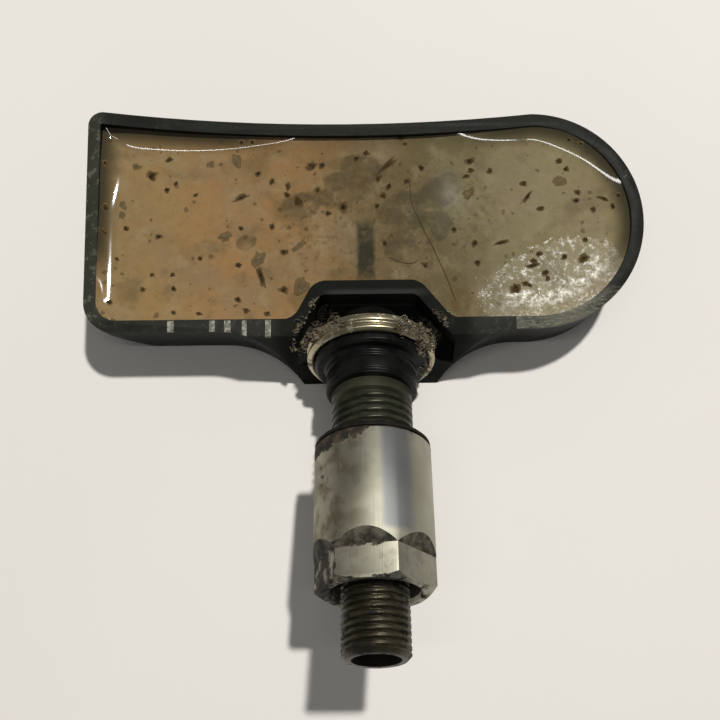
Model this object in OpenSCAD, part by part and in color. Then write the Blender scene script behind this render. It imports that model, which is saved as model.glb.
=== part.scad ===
// Clamp-in tyre pressure sensor: a potted tray with an angled valve stem.
// Millimetres. X runs along the tray, Y to the back, Z up. The stem's axis is at x = 0,
// y = 0 is the middle of the seat, and z = 0 is the closed face that the tray rests on.

/* [Tray] */
// height of the tray from its closed face to its rim
tray_h = 11; // [10.6:0.1:12]
// distance from the stem's axis to the straight left end
left_x = 36.2; // [34:0.1:40]
// distance of the straight front wall behind the middle of the seat
front_y = 1.9; // [1.6:0.05:2.4]
// thickness of the tray's walls
wall = 1.55; // [1.3:0.05:1.7]
// thickness of the tray's closed face
floor_t = 1.2; // [1:0.05:1.4]
// outside radius of the round end
round_r = 14.05; // [13.9:0.05:15]
// distance from the stem's axis to the middle of the round end
round_x = 20.9; // [20.5:0.1:23]
// how far the hollow back wall lies inside the round end's crest
hollow_dip = 1.1; // [1:0.05:1.3]
// radius of the hollow back wall
hollow_r = 252.7; // [240:0.5:300]
// x of the lowest point of the hollow back wall
hollow_x = -2.4; // [-4:0.1:0]
// radius of the front left corner at the rim
front_corner_r = 4; // [3:0.1:5]
// radius of the back left corner at the rim
back_corner_r = 1.8; // [1.75:0.05:2.4]
// radius of both left corners at the closed face
foot_corner_r = 8; // [7:0.1:9]
// radius of the sweep from the front wall into the seat skirt
skirt_r = 12.8; // [12:0.1:14]
// distance from the stem's axis to the outer end of that sweep
skirt_x = 19.5; // [19:0.1:20.5]
// radius of the posts that carry the circuit board
post_r = 1.3; // [1:0.1:1.6]

/* [Seat pocket] */
// lift of the stem's axis over the closed face, in degrees
lift = 23.6; // [20:0.1:27]
// height of the middle of the seat
seat_z = 8.2; // [8:0.05:8.6]
// y of the pocket's back face towards the potting
pocket_back_y = 8.3; // [8.1:0.05:8.6]
// thickness of the pocket's back wall
pocket_back_wall = 1.8; // [1.6:0.05:1.9]
// thickness of the pocket's slanting side walls
pocket_side_wall = 1.5; // [1.3:0.05:1.7]
// height of the pocket's flat bottom
pocket_floor_z = 4.7; // [4.5:0.05:4.9]
// radius of the pocket's back corners
pocket_r = 2.5; // [2.2:0.05:2.7]
// radius where the pocket's sides run into the front wall
pocket_foot_r = 2.4; // [2.1:0.05:2.6]
// width of the fork that holds the stem's tail
fork_w = 13; // [12:0.1:14]
// thickness of that fork along the stem
fork_t = 1.4; // [1.2:0.05:1.6]

/* [Valve stem] */
// distance along the stem from the seat to the tip
stem_len = 39.3; // [38.8:0.1:41]
// length of the tail behind the seat
tail_len = 4.1; // [3.8:0.05:4.2]
// radius of the tail and of the neck in the grommet
neck_r = 3.9; // [3.8:0.02:4]
// radius at the bottom of the tail's groove
groove_r = 3.2; // [3:0.05:3.4]
// distance from the seat to the shoulder that closes the grommet
shoulder_t = 6.9; // [6.5:0.05:7.2]
// crest radius of the clamping thread
thread_r = 4.95; // [4.9:0.01:5]
// distance from the seat to the far end of the clamping thread
thread_end_t = 28.3; // [28:0.1:28.8]
// distance from one ring of the clamping thread to the next
thread_pitch = 1; // [0.95:0.01:1.1]
// depth between the rings of the clamping thread
thread_depth = 0.45; // [0.4:0.01:0.5]
// length of the plain band next to the shoulder
band_len = 1.4; // [1.2:0.1:1.6]
// crest radius of the cap thread
cap_r = 3.85; // [3.8:0.01:3.9]
// radius of the relief under the cap thread
relief_r = 3.3; // [3.2:0.02:3.45]
// length of the cap thread with its chamfers
cap_len = 9.1; // [8.6:0.1:9.4]
// radius of the flat end face at the tip
tip_r = 3.4; // [3.3:0.02:3.5]
// radius of the open mouth
mouth_r = 2.74; // [2.7:0.02:2.9]
// radius of the bore that holds the core
core_r = 2.6; // [2.55:0.01:2.7]
// radius of the chamber under the core's seal
chamber_r = 2.15; // [2.1:0.01:2.2]
// radius of the air passage down to the tail
air_r = 1.25; // [1.1:0.05:1.4]

/* [Ring and grommet] */
// outside radius of the ring against the seat
ring_r = 8.15; // [8:0.05:8.3]
// thickness of the ring along the stem
ring_t = 2.3; // [2.2:0.05:2.5]
// thickness of the ring's floor under the grommet
ring_floor = 1.1; // [1:0.05:1.2]
// width of the ring's rim round the grommet's flange
ring_lip = 1.05; // [1:0.01:1.1]
// distance from the seat to the front of the flange
flange_t = 3.3; // [3.2:0.05:3.6]
// radius of the grommet's spigot in the rim's hole
spigot_r = 5.65; // [5.6:0.01:5.7]
// depth of the two grooves round the spigot
spigot_groove = 0.15; // [0.1:0.01:0.2]

/* [Clamping nut] */
// distance along the stem from the seat to the washer
nut_t = 13.9; // [13.5:0.1:15]
// thickness of the captive washer
washer_t = 0.65; // [0.6:0.05:0.8]
// outside radius of the captive washer
washer_r = 6.9; // [6.8:0.01:6.94]
// bore radius of the captive washer
washer_bore_r = 5.25; // [5.2:0.01:5.4]
// length of the nut without its washer
nut_len = 17.6; // [17:0.1:18]
// radius of the nut's round sleeve
sleeve_r = 6.95; // [6.85:0.01:7]
// width of the nut's hexagon across its flats
hex_af = 12; // [11.9:0.02:12.1]
// straight length of the hexagon's flats
flat_len = 3.75; // [3.6:0.05:4]
// slope of the run-outs behind the flats, in degrees
runout = 30; // [28:1:34]
// turn of the hexagon about the stem, in degrees
hex_turn = 9.4; // [6:0.2:12]
// running clearance between the two threads
thread_gap = 0.07; // [0.05:0.01:0.09]
// radius of the nut's relief behind its thread
nut_relief_r = 5.45; // [5.4:0.02:5.6]

/* [Valve core] */
// depth of the core's pin below the tip
pin_depth = 1; // [0.9:0.05:1.2]
// radius of the core's pin
pin_r = 0.45; // [0.4:0.01:0.5]
// running clearance round the pin in the bridge
pin_gap = 0.07; // [0.05:0.01:0.09]
// depth of the core's bridge below the tip
bridge_depth = 2.1; // [2:0.05:2.3]
// width of the core's bridge
bridge_w = 1.7; // [1.5:0.05:1.8]
// radius of the core's barrel
barrel_r = 1.6; // [1.55:0.01:1.65]
// radius of the hollow in the barrel
hollow_core_r = 1.2; // [1.15:0.01:1.25]
// distance from the stem's tip to the lower end of the core's barrel
barrel_depth = 13.3; // [13:0.05:13.5]
// distance from the stem's tip to the seat under the core's plug
core_seat_depth = 6.3; // [6.2:0.05:6.4]
// length of the sloping seat for the core's seal
core_seat_len = 1.8; // [1.7:0.05:1.9]
// distance from the stem's tip to the end of the chamber
chamber_depth = 17; // [16.8:0.05:18]
// thickness of the cup on the pin and of the seal on it
cup_len = 0.7; // [0.6:0.05:0.75]
// radius of the cup's seal
cup_r = 1.5; // [1.45:0.01:1.55]
// gap between the cup's seal and the barrel
cup_gap = 0.05; // [0.04:0.01:0.06]
// wire radius of the core's spring
wire_r = 0.16; // [0.14:0.01:0.18]
// number of turns of the core's spring
spring_turns = 6; // [5:1:8]

/* [Electronics] */
// gap between the coin cell and the round end
cell_gap = 0.25; // [0.2:0.01:0.3]
// thickness of the coin cell
cell_t = 5; // [4.8:0.05:5.1]
// thickness of the tabs on the coin cell
tab_t = 0.25; // [0.2:0.01:0.3]
// width of the tabs on the coin cell
tab_w = 4; // [3.5:0.1:5]
// length of the top tab over the coin cell
tab_len = 10; // [9:0.1:10.5]
// height of the board's underside
board_z = 7.4; // [7.3:0.05:7.6]
// thickness of the board
board_t = 0.8; // [0.7:0.05:1]
// gap between the board and the walls
board_gap = 1; // [0.8:0.05:1.2]
// height of the flat top of the potting
fill_z = 10.2; // [10.1:0.05:10.4]
// radius of the pressure port in the closed face
port_r = 0.8; // [0.6:0.05:1]
// distance of the pressure port from the stem's axis
port_x = 15; // [14.5:0.1:15.5]
// outside radius of the port's gasket
gasket_r = 2.4; // [2.2:0.05:2.6]
// length of the pressure chip
chip_l = 10.2; // [10:0.1:10.5]
// width of the pressure chip
chip_w = 6; // [5.8:0.1:6.2]
// thickness of the pressure chip
chip_t = 1.9; // [1.7:0.05:2]
// side of the transmitter chip
radio_w = 7; // [6:0.1:7.2]
// thickness of the transmitter chip
radio_t = 1.2; // [1:0.05:1.4]
// length of the crystal's can
can_l = 5; // [4.5:0.1:5.2]
// width of the crystal's can
can_w = 3.2; // [3:0.1:3.5]
// thickness of the crystal's can
can_t = 1.1; // [1:0.05:1.2]
// length of the coil's core
coil_l = 11.6; // [11:0.1:12]
// width of the coil's core at its ends
coil_w = 3.4; // [3.2:0.05:3.6]
// thickness of the coil's core at its ends
coil_t = 2.8; // [2.6:0.05:3]
// length of each end of the coil's core
coil_end = 1.6; // [1.4:0.05:1.7]
// length of the capacitors
cap_size = 2; // [1.8:0.05:2.1]
// length of the resistors
res_size = 1.6; // [1.5:0.05:1.7]
// length of the feet on the chips
lead_l = 1; // [0.9:0.05:1.1]
// width of the aerial's contact strip
strip_w = 1.9; // [1.7:0.05:2.1]
// thickness of the aerial's contact strip
strip_t = 0.3; // [0.25:0.01:0.35]
// height of the contact strip's loop over the board
strip_rise = 1.3; // [1.2:0.05:1.35]
// length of the contact strip's loop behind the pocket
strip_len = 6.75; // [6.5:0.05:7]

/* [Hidden] */
$fn = 72;
eps = 0.02;
big = 60;
round_y = front_y + round_r;
hollow_y = round_y + round_r - hollow_dip;
hollow_cy = hollow_y + hollow_r;
pocket_in_y = pocket_back_y - pocket_back_wall;
seat_low_y = -seat_z * tan(lift);
relief_t = stem_len - cap_len;
mouth_t = stem_len - 0.6;
core_end_t = stem_len - core_seat_depth;
chamber_t = core_end_t - core_seat_len;
chamber_end_t = stem_len - chamber_depth;
barrel_end_t = stem_len - barrel_depth;
bridge_t = stem_len - bridge_depth;
nut_rear_t = nut_t + washer_t;
nut_front_t = nut_rear_t + nut_len;
nut_bore_r = thread_r + thread_gap;
flat_t = nut_front_t - flat_len;
cup_seal_t = barrel_end_t - cup_gap - 1.5 * cup_len;
cup_t = cup_seal_t - cup_len;
spring_t = barrel_end_t + 0.9;
collar_t = bridge_t - 2.2;
flange_r = ring_r - ring_lip;
cell_r = round_r - wall - cell_gap;
cell_z = floor_t + tab_t;
cell_top_z = cell_z + cell_t;
board_top_z = board_z + board_t;
row_near = round_y - 0.4 * round_r;
row_mid = round_y - 0.14 * round_r;
row_far = round_y + 0.32 * round_r;
row_back = round_y + 0.5 * round_r;
pocket_mid_x = -0.35;

// ---- helpers ----

// a point in the y-z plane, t along the stem from the seat and n square to it
function on_axis(t, n) = [
    -t * cos(lift) + n * sin(lift),
    seat_z + t * sin(lift) + n * cos(lift),
];

// the arc that rounds the corner q between its neighbours p and s
function corner_arc(p, q, s, r) =
    let (
        u = (p - q) / norm(p - q),
        v = (s - q) / norm(s - q),
        half = acos(u * v) / 2,
        c = q + (u + v) / norm(u + v) * r / sin(half),
        a = q + u * r / tan(half) - c,
        b = q + v * r / tan(half) - c,
        a0 = atan2(a[1], a[0]),
        turn = atan2(a[0] * b[1] - a[1] * b[0], a * b)
    )
    [for (k = [0 : 8]) c + r * [cos(a0 + turn * k / 8), sin(a0 + turn * k / 8)]];

module on_stem() {
    translate([0, 0, seat_z]) rotate([90 - lift, 0, 0]) children();
}

// a profile in the y-z plane, made w wide about x
module across(w, x = 0) {
    translate([x - w / 2, 0, 0]) rotate([90, 0, 90]) linear_extrude(w) children();
}

module block(x, y, z, size) {
    translate([x - size[0] / 2, y - size[1] / 2, z]) cube(size);
}

// ---- tray ----

// the outline of the tray at its rim, drawn in by i on every side
module tray_outline(i) {
    front_r = front_corner_r - i;
    back_r = back_corner_r - i;
    corner_x = -left_x + back_corner_r;
    corner_y = hollow_cy - sqrt(pow(hollow_r + back_corner_r, 2) - pow(corner_x - hollow_x, 2));
    difference() {
        union() {
            difference() {
                translate([-left_x + i, front_y + i]) square([left_x + round_x - i, 3 * round_r]);
                translate([-left_x + i - 1, front_y + i - 1]) square(1 + front_r);
                translate([-left_x + i - 1, corner_y]) square([1 + back_r, big]);
            }
            translate([-left_x + front_corner_r, front_y + front_corner_r]) circle(front_r);
            translate([corner_x, corner_y]) circle(back_r);
            translate([round_x, round_y]) circle(round_r - i);
        }
        translate([hollow_x, hollow_cy]) circle(hollow_r + i, $fn = 720);
    }
}

// what the tapering left corners take away, for a wall drawn in by i
module corner_taper(i, front) {
    rim_r = front ? front_corner_r : back_corner_r;
    top_r = (foot_corner_r - rim_r) * sqrt(2) + rim_r + (front ? 0.1 : 0.4);
    corner_y = front ? front_y : hollow_cy - sqrt(pow(hollow_r, 2) - pow(left_x + hollow_x, 2)) - 0.6;
    side = front ? 1 : -1;
    middle = [-left_x + foot_corner_r, corner_y + side * foot_corner_r];
    difference() {
        translate([middle[0] - foot_corner_r - 2, front ? middle[1] - foot_corner_r - 2 : middle[1], -eps])
            cube([foot_corner_r + 2, foot_corner_r + 2, tray_h + 2 * eps]);
        translate([middle[0], middle[1], -eps])
            cylinder(h = tray_h + 2 * eps, r1 = foot_corner_r - i, r2 = top_r - i);
    }
}

module tray_solid(i, z0) {
    difference() {
        translate([0, 0, z0]) linear_extrude(tray_h - z0) tray_outline(i);
        corner_taper(i, true);
        corner_taper(i, false);
    }
}

// the pocket's plan towards the potting
module pocket_outside() {
    foot_y = front_y + wall - 0.05;
    a = [-14, foot_y];
    b = [-9.75, foot_y];
    c = [-7.1, pocket_back_y];
    d = [6.2, pocket_back_y];
    e = [10.3, foot_y];
    f = [15, foot_y];
    polygon(concat(
        [[a[0], front_y - 1], a],
        corner_arc(a, b, c, pocket_foot_r),
        corner_arc(b, c, d, pocket_r),
        corner_arc(c, d, e, pocket_r),
        corner_arc(d, e, f, pocket_foot_r),
        [f, [f[0], front_y - 1]]
    ));
}

// the pocket's open plan towards the stem
module pocket_inside() {
    b = [-11.1 + pocket_side_wall, 0.6];
    c = [-7 + 0.4 * pocket_side_wall, pocket_in_y];
    d = [6.8 - 0.7 * pocket_side_wall, pocket_in_y];
    e = [11.8 - 0.7 * pocket_side_wall, 0.6];
    polygon(concat(
        [[b[0], -big / 2], b],
        corner_arc(b, c, d, pocket_r / 2),
        corner_arc(c, d, e, pocket_r / 2),
        [e, [e[0], -big / 2]]
    ));
}

// the lump between the straight front wall and the slanting seat
module seat_skirt() {
    linear_extrude(tray_h) difference() {
        translate([-skirt_x, seat_low_y - 1]) square([2 * skirt_x, front_y - seat_low_y + 2]);
        for (side = [-1, 1])
            translate([side * skirt_x, front_y - skirt_r]) circle(skirt_r);
    }
}

// the fork that holds the stem's tail from below
module tail_fork() {
    intersection() {
        on_stem() difference() {
            translate([-fork_w / 2, -big / 2, -fork_t]) cube([fork_w, big / 2 + 0.6, fork_t]);
            translate([0, 0, -fork_t - 1]) cylinder(h = fork_t + 2, r = groove_r);
            translate([-groove_r, 0, -fork_t - 1]) cube([2 * groove_r, 5, fork_t + 2]);
        }
        translate([-fork_w / 2, -big / 2, floor_t]) cube([fork_w, big, tray_h - floor_t - 0.4]);
    }
}

module posts() {
    for (p = [[5.7 - left_x, row_back + 2], [6.7 - left_x, row_near - 1.4], [3, row_back + 2]])
        translate([p[0], p[1], floor_t - eps]) cylinder(h = board_z - floor_t + eps, r = post_r);
}

module housing() {
    color([0.12, 0.125, 0.12])
    difference() {
        union() {
            difference() {
                union() {
                    difference() {
                        tray_solid(0, 0);
                        tray_cavity();
                    }
                    difference() {
                        seat_skirt();
                        on_stem() translate([-big / 2, -big / 2, 0]) cube([big, big, big]);
                    }
                }
                pocket_cut();
            }
            tail_fork();
            posts();
        }
        antenna_contact_shape();
        translate([-port_x, row_mid, -1]) cylinder(h = floor_t + 2, r = port_r, $fn = 32);
    }
}

module tray_cavity() {
    difference() {
        translate([0, 0, eps]) tray_solid(wall, floor_t - eps);
        translate([0, 0, -1]) linear_extrude(tray_h + 2) pocket_outside();
        translate([-big, -big, -1]) cube([2 * big, big + front_y + wall, 1 + eps]);
    }
}

// the open pocket with the hollow that the stem's tail lies in
module pocket_cut() {
    translate([0, 0, pocket_floor_z]) linear_extrude(tray_h) pocket_inside();
    on_stem() translate([0, 0, -tail_len]) cylinder(h = tail_len + 1, r = neck_r);
}

module potting() {
    color([0.62, 0.5, 0.3])
    difference() {
        intersection() {
            tray_cavity();
            translate([-big, -big, 0]) cube([2 * big, 2 * big, fill_z]);
        }
        posts();
        buried_parts();
    }
}

module buried_parts() {
    circuit_board_shape();
    battery_cell_shape();
    battery_tab_top_shape();
    battery_tab_bottom_shape();
    pressure_sensor_chip_shape();
    translate([-port_x, row_mid, 0]) cylinder(h = board_z - chip_t, r = gasket_r);
    transmitter_chip_shape();
    crystal_can_shape();
    coil_core_shape();
    coil_winding_shape();
    antenna_contact_shape();
    capacitors_shape();
    resistors_shape();
}

// ---- ring, grommet and stem ----

module seat_ring() {
    color([0.62, 0.58, 0.5])
    on_stem() rotate_extrude() polygon([
        [neck_r, 0],
        [ring_r - 0.15, 0],
        [ring_r, 0.15],
        [ring_r, 0.85],
        [ring_r - 0.28, 1.05],
        [ring_r - 0.28, 1.4],
        [ring_r - 0.05, 1.6],
        [ring_r - 0.05, 1.95],
        [ring_r - 0.4, ring_t],
        [flange_r + 0.3, ring_t],
        [flange_r + 0.05, ring_t - 0.25],
        [flange_r + 0.05, ring_floor],
        [neck_r, ring_floor],
    ]);
}

module grommet() {
    g = spigot_r - spigot_groove;
    first = flange_t + 0.75;
    second = flange_t + 2.75;
    color([0.06, 0.06, 0.065])
    on_stem() rotate_extrude() polygon([
        [neck_r, ring_floor],
        [flange_r, ring_floor],
        [flange_r, flange_t - 0.35],
        [flange_r - 0.35, flange_t],
        [spigot_r + 0.3, flange_t],
        [spigot_r, flange_t + 0.3],
        [spigot_r, first],
        [g, first + 0.15],
        [g, first + 0.35],
        [spigot_r, first + 0.5],
        [spigot_r, second],
        [g, second + 0.15],
        [g, second + 0.3],
        [spigot_r, second + 0.45],
        [spigot_r, shoulder_t - 0.1],
        [spigot_r - 0.3, shoulder_t],
        [neck_r, shoulder_t],
    ]);
}

// the crests and roots of the clamping thread, drawn as plain rings
thread_t = shoulder_t + band_len + 0.9;
thread_count = floor((thread_end_t - 0.6 - thread_t) / thread_pitch - 0.1);
thread_rings = [for (k = [0 : thread_count], root = [0, 1])
    [thread_r - root * thread_depth, thread_t + (k + root / 2) * thread_pitch]];

module valve_stem() {
    color([0.25, 0.25, 0.24])
    on_stem() rotate_extrude() polygon([
        [air_r, -tail_len],
        [neck_r - 0.3, -tail_len],
        [neck_r, -tail_len + 0.3],
        [neck_r, -fork_t],
        [groove_r, -fork_t],
        [groove_r, 0],
        [neck_r, 0],
        [neck_r, shoulder_t],
        [thread_r - 0.15, shoulder_t],
        [thread_r, shoulder_t + 0.15],
        [thread_r, shoulder_t + band_len],
        [thread_r - 0.45, shoulder_t + band_len + 0.3],
        [thread_r - 0.45, shoulder_t + band_len + 0.6],
        each thread_rings,
        [thread_r, thread_end_t - 0.6],
        [thread_r - 0.6, thread_end_t],
        [relief_r, thread_end_t + 0.5],
        [relief_r, relief_t],
        [cap_r, relief_t + 0.5],
        [cap_r, stem_len - 0.45],
        [tip_r, stem_len],
        [mouth_r, stem_len],
        [mouth_r, mouth_t],
        [core_r, mouth_t - 0.3],
        [core_r, core_end_t],
        [chamber_r, chamber_t],
        [chamber_r, chamber_end_t],
        [air_r, chamber_end_t - 1],
    ]);
}

// ---- nut and washer ----

module thrust_washer() {
    color([0.7, 0.7, 0.68])
    on_stem() rotate_extrude() polygon([
        [washer_bore_r, nut_t],
        [washer_r - 0.3, nut_t],
        [washer_r, nut_t + 0.3],
        [washer_r, nut_rear_t],
        [washer_bore_r, nut_rear_t],
    ]);
}

// takes one flat and its sloping run-out off the sleeve
module hex_cut() {
    slope = (sleeve_r + 1 - hex_af / 2) / tan(runout);
    rotate([90, 0, 90]) translate([0, 0, -big / 4]) linear_extrude(big / 2) polygon([
        [hex_af / 2, nut_front_t + 1],
        [hex_af / 2, flat_t],
        [sleeve_r + 1, flat_t - slope],
        [sleeve_r + 2, flat_t - slope],
        [sleeve_r + 2, nut_front_t + 1],
    ]);
}

module clamp_nut() {
    color([0.72, 0.72, 0.7])
    on_stem() difference() {
        rotate_extrude() polygon([
            [nut_relief_r, nut_rear_t],
            [sleeve_r - 0.3, nut_rear_t],
            [sleeve_r, nut_rear_t + 0.3],
            [sleeve_r, nut_front_t - 0.55],
            [hex_af / 2 + 0.02, nut_front_t],
            [nut_bore_r + 0.3, nut_front_t],
            [nut_bore_r, nut_front_t - 0.45],
            [nut_bore_r, nut_rear_t + 2],
            [nut_relief_r, nut_rear_t + 1.5],
        ]);
        for (k = [0 : 5]) rotate([0, 0, hex_turn + 60 * k]) hex_cut();
    }
}

// ---- valve core ----

module core_body() {
    low = core_end_t + 0.2;
    color([0.7, 0.56, 0.3])
    on_stem() difference() {
        rotate_extrude() polygon([
            [pin_r + 0.35, barrel_end_t],
            [barrel_r, barrel_end_t],
            [barrel_r, low],
            [core_r, low + 0.6],
            [core_r, bridge_t - 0.2],
            [core_r - 0.2, bridge_t],
            [pin_r + pin_gap, bridge_t],
            [pin_r + pin_gap, bridge_t - 1.2],
            [hollow_core_r, bridge_t - 1.2],
            [hollow_core_r, barrel_end_t + 0.9],
            [pin_r + 0.35, barrel_end_t + 0.9],
        ]);
        for (side = [-1, 1])
            translate([side * (bridge_w / 2 + 2), 0, bridge_t - 2])
                translate([-2, -4, 0]) cube([4, 8, 4]);
    }
}

module core_barrel_seal() {
    slope = (core_r - chamber_r) / (core_end_t - chamber_t);
    color([0.85, 0.84, 0.8])
    on_stem() rotate_extrude() polygon([
        [barrel_r, chamber_t],
        [chamber_r, chamber_t],
        [core_r - 0.7 * slope, core_end_t - 0.7],
        [core_r - 0.7 * slope - 0.25, core_end_t - 0.4],
        [barrel_r, core_end_t - 0.4],
    ]);
}

module core_pin() {
    color([0.72, 0.6, 0.35])
    on_stem() rotate_extrude() polygon([
        [0, cup_t],
        [cup_r - 0.1, cup_t],
        [cup_r - 0.1, cup_seal_t],
        [pin_r, cup_seal_t],
        [pin_r, collar_t],
        [1.05, collar_t],
        [1.05, collar_t + 0.4],
        [pin_r, collar_t + 0.4],
        [pin_r, stem_len - pin_depth - 0.15],
        [pin_r - 0.15, stem_len - pin_depth],
        [0, stem_len - pin_depth],
    ]);
}

module core_cup_seal() {
    color([0.07, 0.07, 0.07])
    on_stem() rotate_extrude() polygon([
        [pin_r, cup_seal_t],
        [cup_r - 0.15, cup_seal_t],
        [cup_r, cup_seal_t + 0.3],
        [cup_r - 0.1, barrel_end_t - cup_gap],
        [pin_r, barrel_end_t - cup_gap],
    ]);
}

// the coil as rings of points along its own rule
module core_spring() {
    steps = spring_turns * 16;
    rise = collar_t - spring_t - 2 * wire_r - 0.02;
    coil_r = hollow_core_r - wire_r - 0.08;
    sides = 6;
    points = [for (k = [0 : steps], j = [0 : sides - 1])
        let (a = 360 * spring_turns * k / steps, b = 360 * j / sides, r = coil_r + wire_r * cos(b))
        [r * cos(a), r * sin(a), spring_t + wire_r + 0.01 + rise * k / steps + wire_r * sin(b)]];
    walls = [for (k = [0 : steps - 1], j = [0 : sides - 1])
        let (n = (j + 1) % sides)
        [k * sides + j, (k + 1) * sides + j, (k + 1) * sides + n, k * sides + n]];
    first = [for (j = [0 : sides - 1]) j];
    last = [for (j = [sides - 1 : -1 : 0]) steps * sides + j];
    color([0.75, 0.75, 0.75])
    on_stem() polyhedron(points, concat(walls, [first], [last]), convexity = 10);
}

// ---- electronics ----

module board_plan() {
    i = wall + board_gap;
    depth = hollow_y - front_y - 2 * i - 1;
    difference() {
        union() {
            translate([-left_x + i, front_y + i + 1]) square([left_x - i + round_x, depth]);
            translate([round_x, round_y]) circle(round_r - i);
        }
        translate([-port_x + 0.5, -big]) square([port_x + 15.5, big + pocket_back_y + board_gap + 0.1]);
    }
}

module circuit_board_shape() {
    translate([0, 0, board_z]) linear_extrude(board_t) board_plan();
}

module circuit_board() {
    color([0.1, 0.3, 0.15]) circuit_board_shape();
}

module battery_cell_shape() {
    step = 0.06 * cell_t;
    translate([round_x, round_y, 0]) rotate_extrude() polygon([
        [0, cell_z],
        [cell_r - step, cell_z],
        [cell_r, cell_z + step],
        [cell_r, cell_top_z - 2 * step],
        [cell_r - step, cell_top_z - step],
        [cell_r - 4 * step, cell_top_z - step],
        [cell_r - 4 * step, cell_top_z],
        [0, cell_top_z],
    ]);
}

module battery_cell() {
    color([0.7, 0.71, 0.72]) battery_cell_shape();
}

module battery_tab_top_shape() {
    near = round_x + 1 - tab_len;
    translate([0, round_y + tab_w / 2, 0]) rotate([90, 0, 0]) linear_extrude(tab_w) polygon([
        [near, cell_top_z],
        [near + tab_len, cell_top_z],
        [near + tab_len, cell_top_z + tab_t],
        [near + tab_t, cell_top_z + tab_t],
        [near + tab_t, board_z],
        [near, board_z],
    ]);
}

module battery_tab_top() {
    color([0.75, 0.74, 0.7]) battery_tab_top_shape();
}

module battery_tab_bottom_shape() {
    edge = round_x - cell_r - cell_gap;
    translate([0, round_y + tab_w / 2, 0]) rotate([90, 0, 0]) linear_extrude(tab_w) polygon([
        [edge - tab_t, floor_t],
        [edge + tab_len, floor_t],
        [edge + tab_len, cell_z],
        [edge, cell_z],
        [edge, board_z],
        [edge - tab_t, board_z],
    ]);
}

module battery_tab_bottom() {
    color([0.75, 0.74, 0.7]) battery_tab_bottom_shape();
}

// a chip under the board with a row of feet on each long side
module chip(x, y, l, w, t, pitch) {
    block(x, y, board_z - t - lead_l / 10, [l, w, t]);
    for (side = [-1, 1], k = [-3 : 3])
        block(x + pitch * k, y + side * (w / 2 + 0.3 * lead_l), board_z - 0.5 * lead_l,
            [0.4 * pitch, lead_l, 0.5 * lead_l]);
}

module pressure_sensor_chip_shape() {
    chip(-port_x, row_mid, chip_l, chip_w, chip_t - lead_l / 10, chip_l / 8);
}

module pressure_sensor_chip() {
    color([0.1, 0.1, 0.1]) pressure_sensor_chip_shape();
}

module port_gasket() {
    color([0.7, 0.3, 0.2])
    translate([-port_x, row_mid, floor_t]) difference() {
        cylinder(h = board_z - chip_t - floor_t, r = gasket_r);
        translate([0, 0, -1]) cylinder(h = board_z, r = port_r + 0.2, $fn = 32);
    }
}

module transmitter_chip_shape() {
    chip(-0.2 * port_x, row_far, radio_w, radio_w, radio_t, radio_w / 8);
}

module transmitter_chip() {
    color([0.1, 0.1, 0.1]) transmitter_chip_shape();
}

module crystal_can_shape() {
    block(2.5 - port_x, row_back, board_z - can_t, [can_l, can_w, can_t]);
}

module crystal_can() {
    color([0.75, 0.75, 0.75]) crystal_can_shape();
}

module coil_core_shape() {
    x = -0.72 * left_x;
    for (side = [-1, 1])
        block(x + side * (coil_l - coil_end) / 2, round_y, board_z - coil_t, [coil_end, coil_w, coil_t]);
    block(x, round_y, board_z - 0.8 * coil_t, [coil_l - coil_end, coil_w / 2, 0.6 * coil_t]);
}

module coil_core() {
    color([0.2, 0.2, 0.22]) coil_core_shape();
}

module coil_winding_shape() {
    difference() {
        block(-0.72 * left_x, round_y, board_z - 0.95 * coil_t,
            [coil_l - 2.1 * coil_end, 0.85 * coil_w, 0.9 * coil_t]);
        coil_core_shape();
    }
}

module coil_winding() {
    color([0.7, 0.35, 0.15]) coil_winding_shape();
}

// where the plane of the tail's end face meets the height z
function foot_point(z) = [(tail_len + (z - seat_z) * sin(lift)) / cos(lift), z];

// the strip from the stem's tail through the pocket's wall to the board
module antenna_contact_shape() {
    rise_y = pocket_back_y + board_gap / 2;
    low_z = pocket_floor_z - 1.7;
    top_z = board_top_z + strip_rise;
    far_y = rise_y + strip_len;
    across(strip_w, pocket_mid_x) polygon([
        on_axis(-tail_len, -air_r - 0.25),
        foot_point(low_z),
        [rise_y + strip_t, low_z],
        [rise_y + strip_t, top_z - strip_t],
        [far_y - strip_t, top_z - strip_t],
        [far_y - strip_t, board_top_z],
        [far_y, board_top_z],
        [far_y, top_z],
        [rise_y, top_z],
        [rise_y, low_z + strip_t],
        foot_point(low_z + strip_t) + [strip_t / cos(lift), 0],
        on_axis(-tail_len - strip_t, -air_r - 0.25),
    ]);
}

module antenna_contact() {
    color([0.75, 0.62, 0.35]) antenna_contact_shape();
}

module capacitors_shape() {
    places = [
        [-0.57 * port_x, row_mid - 1.5],
        [-0.57 * port_x, row_mid + 1.5],
        [-1.5 * port_x, row_back],
        [-1.7 * port_x, row_back],
        [-0.1 * port_x, row_mid - 1],
    ];
    for (p = places)
        block(p[0], p[1], board_z - cap_size / 2, [0.6 * cap_size, cap_size, cap_size / 2]);
}

module capacitors() {
    color([0.6, 0.5, 0.38]) capacitors_shape();
}

module resistors_shape() {
    places = [
        [-1.5 * port_x, row_near],
        [-1.63 * port_x, row_near],
        [-1.76 * port_x, row_near],
        [-1.24 * port_x, row_back],
        [0.3 * port_x, row_mid + 3],
        [0.3 * port_x, row_mid],
    ];
    for (p = places)
        block(p[0], p[1], board_z - 0.3 * res_size, [res_size / 2, res_size, 0.3 * res_size]);
}

module resistors() {
    color([0.08, 0.08, 0.08]) resistors_shape();
}

// ---- the nodes ----

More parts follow.
